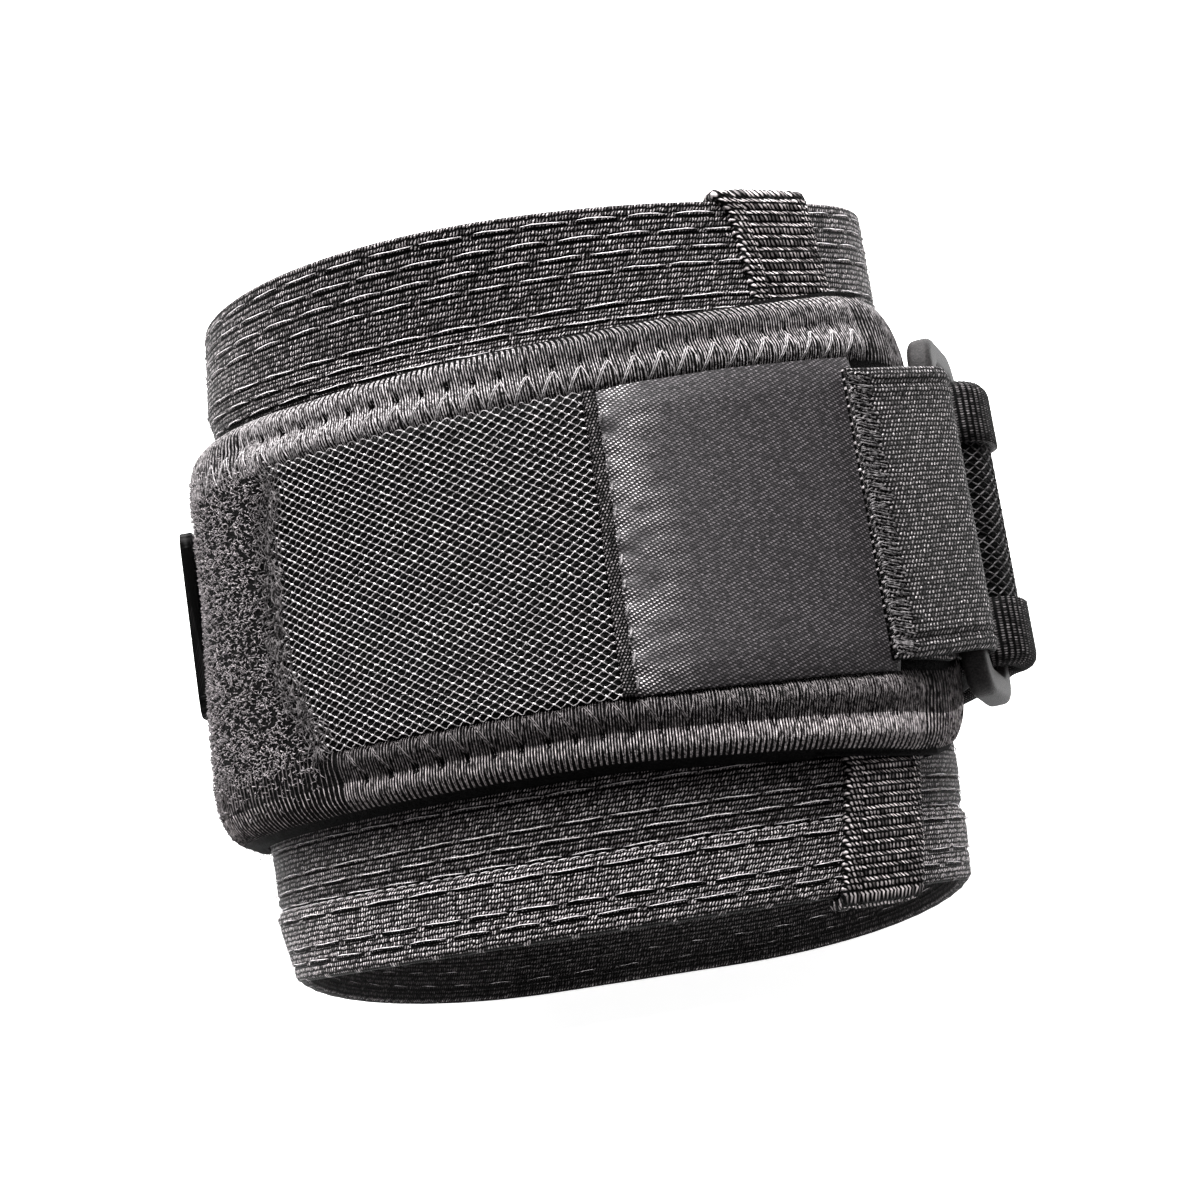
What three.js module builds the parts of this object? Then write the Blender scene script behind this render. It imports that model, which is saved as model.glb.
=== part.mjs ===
// Tennis elbow strap: an elastic sleeve, a foam pad sewn on its front, and a strap through a slot ring.
// Millimetres, +Z up. The strap lies on its back with the pad on top: +Y runs along the forearm,
// +X points to the ring, and the back of the strap rests on z = 0.
import * as THREE from 'three';

// Driving dimensions of the loop that goes round the forearm
const BACK_DEPTH = 50; // from the widest line down to the back
const BACK_FLAT = 13; // half length of the flat on which the loop rests
const LOOP_STEPS = 76; // facets round the loop
const CLEARANCE = 0.3; // air between neighbouring pieces
const RUN_STEP = 4; // facet length along the strap
const FOLD_STEP = 2.4; // facet length along the tabs
const TURN_STEPS = 9; // facets of a half turn round a bar

// Cross-sections of the sleeve, from its upper rim to its lower rim. left, right and front are the reach to
// each side and to the front, crest is where the front is highest, and sag drops the front along the arm.
const SECTIONS = [
  { y: 44.5, left: 46.2, right: 44.6, front: 36.0, crest: -6.0, sag: -1.7 },
  { y: 38.5, left: 45.5, right: 44.6, front: 33.6, crest: -1.0, sag: -2.8 },
  { y: 33.5, left: 45.0, right: 44.6, front: 32.0, crest: 2.0, sag: -3.5 },
  { y: -29.5, left: 45.0, right: 44.6, front: 32.0, crest: 2.0, sag: -3.5 },
  { y: -34.5, left: 45.0, right: 44.2, front: 30.8, crest: 1.4, sag: -3.6 },
  { y: -35.7, left: 45.0, right: 44.0, front: 30.5, crest: 1.2, sag: -3.6 },
  { y: -44.2, left: 44.5, right: 43.3, front: 28.0, crest: 0.0, sag: -3.7 },
];
const MIDDLE = SECTIONS[2];

const SLEEVE = { wall: 2.0, hemTop: -35, hemProud: 0.5 };
const SEAM_BINDING = { thick: 1.4, turnIn: 9, steps: 4 };
// Edges of the seam binding along the arc, from the upper rim to the lower rim
const SEAM_PLAN = [
  { y: 44.5, left: 24.6, right: 39.2 },
  { y: 33.5, left: 27.0, right: 40.6 },
  { y: -29.5, left: 29.6, right: 41.6 },
  { y: -44.2, left: 28.2, right: 41.2 },
];
const SEAM_RECESS = { left: 25, right: 43.5 }; // hollow for it in the pad's underside

// Plan of the pad: its upper and lower edges along the arc, and how full the foam is there
const PAD_PLAN = [
  { s: -74, upper: 22.5, lower: -20.0, fill: 0.46 },
  { s: -72.5, upper: 26.0, lower: -23.2, fill: 0.56 },
  { s: -69, upper: 28.4, lower: -25.5, fill: 0.74 },
  { s: -62, upper: 29.0, lower: -26.1, fill: 0.97 },
  { s: -54, upper: 28.9, lower: -26.2, fill: 1.0 },
  { s: -32, upper: 28.7, lower: -26.0, fill: 1.0 },
  { s: 0, upper: 29.7, lower: -25.9, fill: 1.0 },
  { s: 26, upper: 31.5, lower: -27.7, fill: 1.0 },
  { s: 38, upper: 32.7, lower: -28.6, fill: 0.97 },
  { s: 44, upper: 32.5, lower: -28.7, fill: 0.82 },
  { s: 49, upper: 30.8, lower: -27.8, fill: 0.61 },
  { s: 53, upper: 28.0, lower: -25.6, fill: 0.5 },
  { s: 55.5, upper: 24.0, lower: -22.0, fill: 0.42 },
];
// Half profile across the pad: two stitched rolls along the edge, then a channel for the panels
const PAD_PROFILE = [
  { inset: 0.0, height: 1.9 },
  { inset: 0.6, height: 3.8 },
  { inset: 1.9, height: 5.2 },
  { inset: 3.3, height: 4.9 },
  { inset: 4.0, height: 4.1 },
  { inset: 4.8, height: 5.1 },
  { inset: 6.2, height: 6.2 },
  { inset: 7.6, height: 5.9 },
  { inset: 8.3, height: 4.9 },
  { inset: 12.0, height: 4.9 },
];
const PILE = { height: 5.9, inset: 6.2 }; // the left end has no channel: loop pile from roll to roll
const CHANNEL_HEIGHT = 4.9;
const CHANNEL_INSET = 8.7; // from the pad's edge to the edge of the panels
const PAD_LEAST = 1.0; // thinnest the foam gets
const PAD_ENDS = { left: -68, right: 48 }; // beyond these the rounded corners keep all their rows
const STEP_EDGE = 0.1; // half width of a sharp step along the arc

const MESH_PANEL = { left: -38.8, right: 3.3, thick: 1.0 };
const PILE_END = MESH_PANEL.left - 1; // where the loop pile stops
const LABEL = { left: 3.8, right: 36.6, thick: 0.8 };

// Slot ring: a flat plastic loop, standing at the right flank
const RING = {
  length: 49,
  width: 16,
  thick: 3.3,
  bar: 3.6,
  endBar: 4,
  corner: 5.5,
  slotCorner: 1.6,
  bevel: 0.7,
};
const RING_PLACE = { x: 49.9, y: 1.9, z: 6.5, turn: 12 }; // z from the widest line, turn in degrees

const TAB = { width: 38.4, thick: 1.3 };
// Middle of the webbing where it leaves the label for the ring, and where it comes back on the pad
const TAB_UPPER_RUN = [
  { s: 34.8, n: 7.0 },
  { s: 36.6, n: 7.15 },
  { s: 38.6, n: 7.6 },
];
const TAB_LOWER_RUN = [
  { s: 46.0, n: 5.2 },
  { s: 42.0, n: 5.75 },
  { s: 37.4, n: 5.95 },
];

const STRAP = { width: 39.6, core: 1.2, tape: 1.0, bindingWidth: 9, endRise: 3.4 };
STRAP.thick = STRAP.core + 2 * (CLEARANCE + STRAP.tape);
// Middle of the strap: the end sewn back inside, the run from the ring to the back's flat on the right,
// and the run from the flat up to the hook tab on the left, where s counts backwards from the front
const STRAP_TAIL = [
  { s: 81, n: 2.5 },
  { s: 76, n: 3.5 },
  { s: 71, n: 4.6 },
  { s: 66, n: 4.1 },
];
const STRAP_LOW = CLEARANCE + STRAP.thick / 2;
const STRAP_RIGHT_RUN = [
  { s: 66, n: 9.7 },
  { s: 71, n: 8.9 },
  { s: 76, n: 7.8 },
  { s: 81, n: 6.7 },
  { s: 88, n: 4.9 },
  { s: 96, n: 3.2 },
  { s: 106, n: STRAP_LOW },
  { s: 126, n: STRAP_LOW },
];
const STRAP_LEFT_RUN = [
  { s: -126, n: STRAP_LOW },
  { s: -103, n: STRAP_LOW },
  { s: -96, n: 3.1 },
  { s: -90, n: 4.2 },
  { s: -81, n: 4.8 },
  { s: -78, n: 5.6 },
];

const HOOK_TAB = { width: 26, thick: 1.5, corner: 2.5 };
const HOOK_RUN = [
  { s: -89, n: 1.1 },
  { s: -80, n: 1.3 },
  { s: -77, n: 2.4 },
  { s: -74, n: 4.0 },
  { s: -70.5, n: 5.5 },
  { s: -65, n: 6.6 },
  { s: -59, n: 7.1 },
];

const REST_HEIGHT = BACK_DEPTH + CLEARANCE + STRAP.thick; // height of the widest line

const FABRIC = { color: 0x2b2a2b, roughness: 0.9, metalness: 0 };
const FINISH = {
  sleeve: FABRIC,
  seam_binding: { color: 0x252425, roughness: 0.85, metalness: 0 },
  pad: { color: 0x2e2d2e, roughness: 0.95, metalness: 0 },
  mesh_panel: { color: 0x1c1c1d, roughness: 0.8, metalness: 0 },
  label: { color: 0x3a393b, roughness: 0.55, metalness: 0 },
  ring_tab: { color: 0x232324, roughness: 0.9, metalness: 0 },
  ring: { color: 0x3b3c3f, roughness: 0.45, metalness: 0 },
  strap: { color: 0x1b1b1c, roughness: 0.85, metalness: 0 },
  strap_binding: { color: 0x29282a, roughness: 0.9, metalness: 0 },
  hook_tab: { color: 0x161617, roughness: 0.7, metalness: 0 },
};

// Value of one column of a table at a place along it, in straight stretches between the rows
function along(table, key, at, column) {
  const rising = table[0][key] < table[table.length - 1][key];
  const rows = rising ? table : [...table].reverse();
  if (at <= rows[0][key]) return rows[0][column];
  for (let i = 1; i < rows.length; i++) {
    if (at > rows[i][key]) continue;
    const part = (at - rows[i - 1][key]) / (rows[i][key] - rows[i - 1][key]);
    return THREE.MathUtils.lerp(rows[i - 1][column], rows[i][column], part);
  }
  return rows[rows.length - 1][column];
}

// Outline of the loop in x and height: over the front from left to right, and round the back
function loopOutline({ left, right, front, crest }) {
  const over = new THREE.Path();
  over.absellipse(crest, 0, left + crest, front, Math.PI, Math.PI / 2, true);
  over.absellipse(crest, 0, right - crest, front, Math.PI / 2, 0, true);
  const under = new THREE.Path();
  under.absellipse(BACK_FLAT, 0, right - BACK_FLAT, BACK_DEPTH, 0, -Math.PI / 2, true);
  under.lineTo(-BACK_FLAT, -BACK_DEPTH);
  under.absellipse(-BACK_FLAT, 0, left - BACK_FLAT, BACK_DEPTH, -Math.PI / 2, -Math.PI, true);
  return { over, under };
}

const middleLoop = loopOutline(MIDDLE);
const FRONT_ARC = middleLoop.over.getLength();
const BACK_ARC = middleLoop.under.getLength();
const LOOP = FRONT_ARC + BACK_ARC;

const outlines = new Map();
function outlineAt(y) {
  if (!outlines.has(y)) {
    const columns = ['left', 'right', 'front', 'crest', 'sag'];
    const section = Object.fromEntries(columns.map((name) => [name, along(SECTIONS, 'y', y, name)]));
    outlines.set(y, { ...loopOutline(section), ...section });
  }
  return outlines.get(y);
}

// Point at arc length s from the middle of the front, at height y along the arm and n off the sleeve
function onLoop(s, y, n) {
  const { over, under, front, sag } = outlineAt(y);
  const turned = THREE.MathUtils.euclideanModulo(s + FRONT_ARC / 2, LOOP);
  const inFront = turned <= FRONT_ARC;
  const path = inFront ? over : under;
  const part = inFront ? turned / FRONT_ARC : (turned - FRONT_ARC) / BACK_ARC;
  const point = path.getPoint(part);
  const tangent = path.getTangent(part);
  const drop = sag * Math.max(0, point.y / front);
  return new THREE.Vector3(point.x - tangent.y * n, y + drop, REST_HEIGHT + point.y + tangent.x * n);
}

// Arc stations from one place to another, on the facets of the loop
function stationsBetween(from, to) {
  const step = LOOP / LOOP_STEPS;
  const stations = [from];
  for (let k = Math.ceil(from / step); k * step < to; k++) {
    const near = Math.min(k * step - from, to - k * step);
    if (near > step / 3) stations.push(k * step);
  }
  stations.push(to);
  return stations;
}

// Closed outline from corner points
function outline(points) {
  return new THREE.Shape(points.map(([across, out]) => new THREE.Vector2(across, out)));
}

// Extrudes a section with one step for each station, and lets place(across, out, station) lay it down
function sweep(section, stations, place) {
  const steps = stations.length - 1;
  const geometry = new THREE.ExtrudeGeometry(section, { depth: steps, steps, bevelEnabled: false });
  const position = geometry.getAttribute('position');
  for (let i = 0; i < position.count; i++) {
    const station = stations[Math.round(position.getZ(i))];
    const laid = place(position.getX(i), position.getY(i), station);
    position.setXYZ(i, laid.x, laid.y, laid.z);
  }
  geometry.computeVertexNormals();
  return geometry;
}

// Turns a run of points in one plane along the arm into stations with their outward direction
function followed(points) {
  return points.map((point, i) => {
    const before = points[Math.max(0, i - 1)];
    const after = points[Math.min(points.length - 1, i + 1)];
    const ahead = new THREE.Vector3().subVectors(after, before).setY(0).normalize();
    return { point, normal: new THREE.Vector3(-ahead.z, 0, ahead.x) };
  });
}

// Lays a section on such stations
function onRun(across, out, { point, normal }) {
  return new THREE.Vector3(point.x + normal.x * out, point.y + across, point.z + normal.z * out);
}

// Points of a run that is given as offsets from the sleeve, with its middle at height middle(s)
function runOnLoop(table, step, middle) {
  const first = table[0].s;
  const last = table[table.length - 1].s;
  const count = Math.max(1, Math.round(Math.abs(last - first) / step));
  const points = [];
  for (let i = 0; i <= count; i++) {
    const s = THREE.MathUtils.lerp(first, last, i / count);
    points.push(onLoop(s, middle(s), along(table, 's', s, 'n')));
  }
  return points;
}

// Bars of the ring, in the plane across the arm
const ringTurn = THREE.MathUtils.degToRad(RING_PLACE.turn);
const ringOut = new THREE.Vector3(Math.cos(ringTurn), 0, Math.sin(ringTurn));
const ringAlong = new THREE.Vector3(Math.sin(ringTurn), 0, -Math.cos(ringTurn)); // from front bar to back bar
const ringMiddle = new THREE.Vector3(RING_PLACE.x, RING_PLACE.y, REST_HEIGHT + RING_PLACE.z);
const barReach = (RING.width - RING.bar) / 2;
const frontBar = ringMiddle.clone().addScaledVector(ringAlong, -barReach);
const backBar = ringMiddle.clone().addScaledVector(ringAlong, barReach);

// Half turn round a bar on its slot side, from one face of the ring to the other. It turns about a line
// a little into the slot, which keeps it clear of the bar's edges.
function roundBar(bar, slotSide, radius, startOut) {
  const points = [];
  const centre = bar.clone().addScaledVector(slotSide, (RING.bar - RING.thick) / 2 + CLEARANCE);
  for (let i = 0; i <= TURN_STEPS; i++) {
    const turn = (Math.PI * i) / TURN_STEPS;
    const point = centre.clone();
    point.addScaledVector(ringOut, startOut * radius * Math.cos(turn));
    point.addScaledVector(slotSide, radius * Math.sin(turn));
    points.push(point);
  }
  return points;
}

// Point over the far edge of a bar, seen from its slot
function beside(bar, slotSide, out) {
  return bar.clone().addScaledVector(ringOut, out).addScaledVector(slotSide, -RING.bar / 2);
}

function sleeve() {
  const rows = SECTIONS.map(({ y }) => ({ y, n: y < SLEEVE.hemTop ? SLEEVE.hemProud : 0 }));
  const outer = rows.map(({ y, n }) => new THREE.Vector2(n, y));
  const inner = rows.map(({ y }) => new THREE.Vector2(-SLEEVE.wall, y)).reverse();
  const wall = [...outer, ...inner, outer[0].clone()].reverse();
  const geometry = new THREE.LatheGeometry(wall, LOOP_STEPS);
  const position = geometry.getAttribute('position');
  for (let i = 0; i < position.count; i++) {
    const facet = Math.floor(i / wall.length) % LOOP_STEPS;
    const { x: n, y } = wall[i % wall.length];
    const laid = onLoop((facet * LOOP) / LOOP_STEPS, y, n);
    position.setXYZ(i, laid.x, laid.y, laid.z);
  }
  geometry.computeVertexNormals();
  return geometry;
}

// Webbing strip over the sleeve's seam, turned in over both rims
function seamBinding() {
  const { thick, turnIn, steps } = SEAM_BINDING;
  const top = SECTIONS[0].y + CLEARANCE;
  const bottom = SECTIONS[SECTIONS.length - 1].y - CLEARANCE;
  const inside = -SLEEVE.wall - CLEARANCE;
  const outside = (y) => CLEARANCE + (y < SLEEVE.hemTop ? SLEEVE.hemProud : 0);
  const rows = [top, ...SECTIONS.slice(1, -1).map(({ y }) => y), bottom];
  // Inner face of the strip, from inside the upper rim down the outside to inside the lower rim
  const line = [
    new THREE.Vector3(0, top - turnIn, inside),
    new THREE.Vector3(0, top, inside),
    ...rows.map((y) => new THREE.Vector3(0, y, outside(y))),
    new THREE.Vector3(0, bottom, inside),
    new THREE.Vector3(0, bottom + turnIn, inside),
  ];
  const stations = line.map((point, i) => {
    const ahead = line[Math.min(i + 1, line.length - 1)].clone().sub(point).normalize();
    const behind = point.clone().sub(line[Math.max(i - 1, 0)]).normalize();
    const run = ahead.add(behind).normalize();
    return { y: point.y, n: point.z, outY: run.z, outN: -run.y };
  });
  const across = Array.from({ length: steps + 1 }, (unused, i) => i / steps);
  const section = outline([...across.map((a) => [a, 0]), ...across.map((a) => [a, thick]).reverse()]);
  return sweep(section, stations, (part, out, { y, n, outY, outN }) => {
    const left = along(SEAM_PLAN, 'y', y, 'left');
    const right = along(SEAM_PLAN, 'y', y, 'right');
    return onLoop(THREE.MathUtils.lerp(left, right, part), y + out * outY, n + out * outN);
  });
}

// Height of the pad's face off the sleeve
function padFace(s, y) {
  const upper = along(PAD_PLAN, 's', s, 'upper');
  const lower = along(PAD_PLAN, 's', s, 'lower');
  const inset = Math.max(0, Math.min(upper - y, y - lower));
  const height = along(PAD_PROFILE, 'inset', inset, 'height');
  const piled = s < PILE_END && inset > PILE.inset;
  return (piled ? PILE.height : height) * along(PAD_PLAN, 's', s, 'fill');
}

function pad() {
  const upperEdge = PAD_PROFILE.map(({ inset }) => [1, inset]);
  const lowerEdge = PAD_PROFILE.map(({ inset }) => [-1, inset]).reverse();
  const face = [...upperEdge, ...lowerEdge];
  // The section is drawn with one unit step for each of its rows, and laid out station by station
  const section = outline([
    ...face.map((row, i) => [-i, 1]),
    [1 - face.length, 0],
    [0, 0],
  ]);
  const { left, right } = SEAM_RECESS;
  return sweep(section, padStations(), (row, out, s) => {
    const [side, inset] = face[Math.round(-row)];
    const edge = along(PAD_PLAN, 's', s, side > 0 ? 'upper' : 'lower');
    const y = edge - side * inset;
    const overSeam = s > left && s < right;
    const underside = CLEARANCE + (overSeam ? SEAM_BINDING.thick + CLEARANCE : 0);
    return onLoop(s, y, out > 0 ? Math.max(padFace(s, y), underside + PAD_LEAST) : underside);
  });
}

// Arc stations of the pad: those of the loop, with the ends and the seam's edges kept sharp
function padStations() {
  const steps = [SEAM_RECESS.left, SEAM_RECESS.right, PILE_END];
  const marks = steps.flatMap((s) => [s - STEP_EDGE, s + STEP_EDGE]);
  const ends = PAD_PLAN.map(({ s }) => s).filter((s) => s < PAD_ENDS.left || s > PAD_ENDS.right);
  const first = PAD_PLAN[0].s;
  const last = PAD_PLAN[PAD_PLAN.length - 1].s;
  const kept = [...marks, ...ends];
  const facets = stationsBetween(first, last).filter((s) => kept.every((k) => Math.abs(k - s) > 1));
  return [...kept, ...facets].sort((a, b) => a - b);
}

// Thin panel that lies on the pad's channel
function panel({ left, right, thick }) {
  const section = outline([
    [0, 0],
    [1, 0],
    [1, thick],
    [0, thick],
  ]);
  return sweep(section, stationsBetween(left, right), (across, out, s) => {
    const lower = along(PAD_PLAN, 's', s, 'lower') + CHANNEL_INSET;
    const upper = along(PAD_PLAN, 's', s, 'upper') - CHANNEL_INSET;
    const seat = CHANNEL_HEIGHT * along(PAD_PLAN, 's', s, 'fill') + CLEARANCE;
    return onLoop(s, THREE.MathUtils.lerp(lower, upper, across), seat + out);
  });
}

// Flat strip of webbing, as a section across its width
function strip(width, thick) {
  const half = width / 2;
  return outline([
    [-half, -thick / 2],
    [half, -thick / 2],
    [half, thick / 2],
    [-half, thick / 2],
  ]);
}

// Webbing folded round the front bar of the ring and sewn over the edge of the label
function ringTab() {
  const level = () => RING_PLACE.y;
  const radius = RING.thick / 2 + CLEARANCE + TAB.thick / 2;
  const points = [
    ...runOnLoop(TAB_UPPER_RUN, FOLD_STEP, level),
    beside(frontBar, ringAlong, radius),
    ...roundBar(frontBar, ringAlong, radius, 1),
    beside(frontBar, ringAlong, -radius),
    ...runOnLoop(TAB_LOWER_RUN, FOLD_STEP, level),
  ];
  return sweep(strip(TAB.width, TAB.thick), followed(points), onRun);
}

// Flat plastic loop with a slot for the webbing and the strap
function ring() {
  const { length, width, thick, bar, endBar, corner, slotCorner, bevel } = RING;
  const shape = roundedRectangle(new THREE.Shape(), width, length, corner);
  const slot = roundedRectangle(new THREE.Path(), width - 2 * bar, length - 2 * endBar, slotCorner);
  shape.holes.push(slot);
  const geometry = new THREE.ExtrudeGeometry(shape, {
    depth: thick - 2 * bevel,
    bevelThickness: bevel,
    bevelSize: bevel,
    bevelOffset: -bevel,
    bevelSegments: 2,
    curveSegments: 5,
  });
  return geometry.translate(0, 0, bevel - thick / 2);
}

function roundedRectangle(path, width, length, radius) {
  const x = width / 2 - radius;
  const y = length / 2 - radius;
  path.absarc(x, y, radius, 0, Math.PI / 2);
  path.absarc(-x, y, radius, Math.PI / 2, Math.PI);
  path.absarc(-x, -y, radius, Math.PI, 1.5 * Math.PI);
  path.absarc(x, -y, radius, 1.5 * Math.PI, 2 * Math.PI);
  path.closePath();
  return path;
}

// Route of the strap: sewn-back end, round the back bar, round the back of the arm
function strapRoute() {
  const first = STRAP_RIGHT_RUN[0].s;
  const last = LOOP + STRAP_LEFT_RUN[STRAP_LEFT_RUN.length - 1].s;
  const level = (s) => {
    const travelled = THREE.MathUtils.euclideanModulo(s, LOOP);
    return RING_PLACE.y + STRAP.endRise * THREE.MathUtils.smoothstep(travelled, first, last);
  };
  const radius = RING.thick / 2 + CLEARANCE + STRAP.thick / 2;
  const slotSide = ringAlong.clone().negate();
  return followed([
    ...runOnLoop(STRAP_TAIL, RUN_STEP, level),
    beside(backBar, slotSide, -radius),
    ...roundBar(backBar, slotSide, radius, -1),
    beside(backBar, slotSide, radius),
    ...runOnLoop(STRAP_RIGHT_RUN, RUN_STEP, level),
    ...runOnLoop(STRAP_LEFT_RUN, RUN_STEP, level),
  ]);
}

function strapCore(route) {
  return sweep(strip(STRAP.width - 2 * (STRAP.tape + CLEARANCE), STRAP.core), route, onRun);
}

// Tape folded over one edge of the strap
function strapBinding(route, side) {
  const edge = STRAP.width / 2;
  const face = STRAP.thick / 2;
  const hollow = face - STRAP.tape;
  const start = edge - STRAP.bindingWidth;
  const fold = [
    [start, -face],
    [edge - STRAP.tape / 2, -face],
    [edge, -hollow],
    [edge, hollow],
    [edge - STRAP.tape / 2, face],
    [start, face],
    [start, hollow],
    [edge - STRAP.tape, hollow],
    [edge - STRAP.tape, -hollow],
    [start, -hollow],
  ];
  return sweep(outline(fold.map(([across, out]) => [side * across, out])), route, onRun);
}

// Hook tab under the end of the strap, stuck on the loop pile of the pad
function hookTab() {
  const { width, thick, corner } = HOOK_TAB;
  const level = () => RING_PLACE.y + STRAP.endRise;
  const points = runOnLoop(HOOK_RUN, FOLD_STEP, level);
  const end = points.length - 1;
  const route = followed(points).map((station, i) => ({ ...station, narrowed: i === end ? corner : 0 }));
  return sweep(strip(width, thick), route, (across, out, station) => {
    const inner = across - Math.sign(across) * station.narrowed;
    return onRun(inner, out, station);
  });
}

function mesh(name, geometry, finish = FINISH[name]) {
  const made = new THREE.Mesh(geometry, new THREE.MeshStandardMaterial(finish));
  made.name = name;
  return made;
}

const route = strapRoute();
const ringMesh = mesh('ring', ring());
ringMesh.position.copy(ringMiddle);
ringMesh.rotation.y = Math.PI / 2 - ringTurn;

const strapped = new THREE.Group();
strapped.add(
  mesh('sleeve', sleeve()),
  mesh('seam_binding', seamBinding()),
  mesh('pad', pad()),
  mesh('mesh_panel', panel(MESH_PANEL)),
  mesh('label', panel(LABEL)),
  mesh('ring_tab', ringTab()),
  ringMesh,
  mesh('strap', strapCore(route)),
  mesh('strap_binding_upper', strapBinding(route, 1), FINISH.strap_binding),
  mesh('strap_binding_lower', strapBinding(route, -1), FINISH.strap_binding),
  mesh('hook_tab', hookTab()),
);

// The origin is under the middle of the whole, on the surface it rests on
const extent = new THREE.Box3().setFromObject(strapped);
const middle = extent.getCenter(new THREE.Vector3());
strapped.position.set(-middle.x, -middle.y, -extent.min.z);

const part = new THREE.Group();
part.add(strapped);

export default part;
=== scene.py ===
"""Looks of a tennis elbow strap: a knit sleeve, a padded front, a slot ring and the strap through it."""

import logging
import math
from dataclasses import dataclass, field
from enum import Enum
from typing import Callable, Protocol

import bmesh
import bpy
import numpy as np
from mathutils import Matrix, Vector


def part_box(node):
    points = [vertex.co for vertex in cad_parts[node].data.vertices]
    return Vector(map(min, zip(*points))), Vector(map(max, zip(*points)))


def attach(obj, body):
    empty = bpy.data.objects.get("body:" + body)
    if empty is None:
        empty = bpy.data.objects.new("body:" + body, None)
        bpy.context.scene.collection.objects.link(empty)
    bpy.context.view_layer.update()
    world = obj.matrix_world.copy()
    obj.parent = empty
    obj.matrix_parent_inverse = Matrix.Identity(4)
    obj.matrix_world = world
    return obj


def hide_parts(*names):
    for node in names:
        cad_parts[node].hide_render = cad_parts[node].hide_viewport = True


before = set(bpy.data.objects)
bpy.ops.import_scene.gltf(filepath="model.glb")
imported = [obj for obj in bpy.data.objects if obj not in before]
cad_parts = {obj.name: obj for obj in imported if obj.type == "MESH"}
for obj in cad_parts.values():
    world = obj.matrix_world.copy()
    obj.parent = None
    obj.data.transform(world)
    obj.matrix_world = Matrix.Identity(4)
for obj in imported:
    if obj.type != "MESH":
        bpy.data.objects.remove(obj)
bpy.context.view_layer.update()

LOG = logging.getLogger("elbow_strap")
MM = 0.001
CLEARANCE = 0.3
BODY = "root"
TINY = 1e-9
WELD = 1e-6
THREAD_END = 0.4
Array = np.ndarray
Pair = tuple[float, float]
Triple = tuple[float, float, float]
Colour = Triple
Piece = bpy.types.Object
Socket = bpy.types.NodeSocket
Look = tuple[Socket, Socket, float]


# Tables, surfaces and routes that the cloth is laid on


@dataclass(frozen=True)
class Plan:
    """A short table with named columns. The first column is the place, and the rest are read there.

    Attributes:
        columns: names of the columns.
        rows: one row for each place, in millimetres.
        ease: reach over which the corners of the table are rounded off.
    """

    columns: tuple[str, ...]
    rows: tuple[tuple[float, ...], ...]
    ease: float = 0.0

    def at(self, place: Array, column: str) -> Array:
        """Reads one column.

        Args:
            place: where along the table to read it.
            column: the column's name.

        Returns:
            The column's value at each place.
        """
        rows = np.array(sorted(self.rows))
        values = rows[:, self.columns.index(column)]
        offsets = np.linspace(-self.ease, self.ease, 9) if self.ease else np.zeros(1)
        return np.mean([np.interp(place + shift, rows[:, 0], values) for shift in offsets], axis=0)

    def ends(self) -> Pair:
        """First and last place, in the order of the rows."""
        return self.rows[0][0], self.rows[-1][0]


class Surface(Protocol):
    """What cloth can be laid on."""

    def place(self, along: Array, across: Array, out: Array) -> Array:
        """Points in metres for places along, across and off the surface, in millimetres."""


SECTIONS = Plan(
    ("y", "left", "right", "front", "crest", "sag"),
    (
        (44.5, 46.3, 44.6, 36.0, -6.0, -1.7),
        (38.5, 46.9, 44.6, 33.6, -1.0, -2.8),
        (33.5, 47.4, 44.6, 32.0, 2.0, -3.5),
        (30.5, 46.8, 44.6, 32.0, 2.0, -3.5),
        (28.5, 45.0, 44.6, 32.0, 2.0, -3.5),
        (6.0, 45.3, 44.6, 32.0, 2.0, -3.5),
        (-8.0, 46.3, 44.6, 32.0, 2.0, -3.5),
        (-18.0, 46.7, 44.6, 32.0, 2.0, -3.5),
        (-29.5, 46.2, 44.6, 32.0, 2.0, -3.5),
        (-34.5, 46.3, 44.2, 30.8, 1.4, -3.6),
        (-35.7, 46.2, 44.0, 30.5, 1.2, -3.6),
        (-44.2, 44.6, 43.3, 28.0, 0.0, -3.7),
    ),
)
UPPER_RIM, LOWER_RIM = SECTIONS.ends()
HEM_TOP = -35.0


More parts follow.
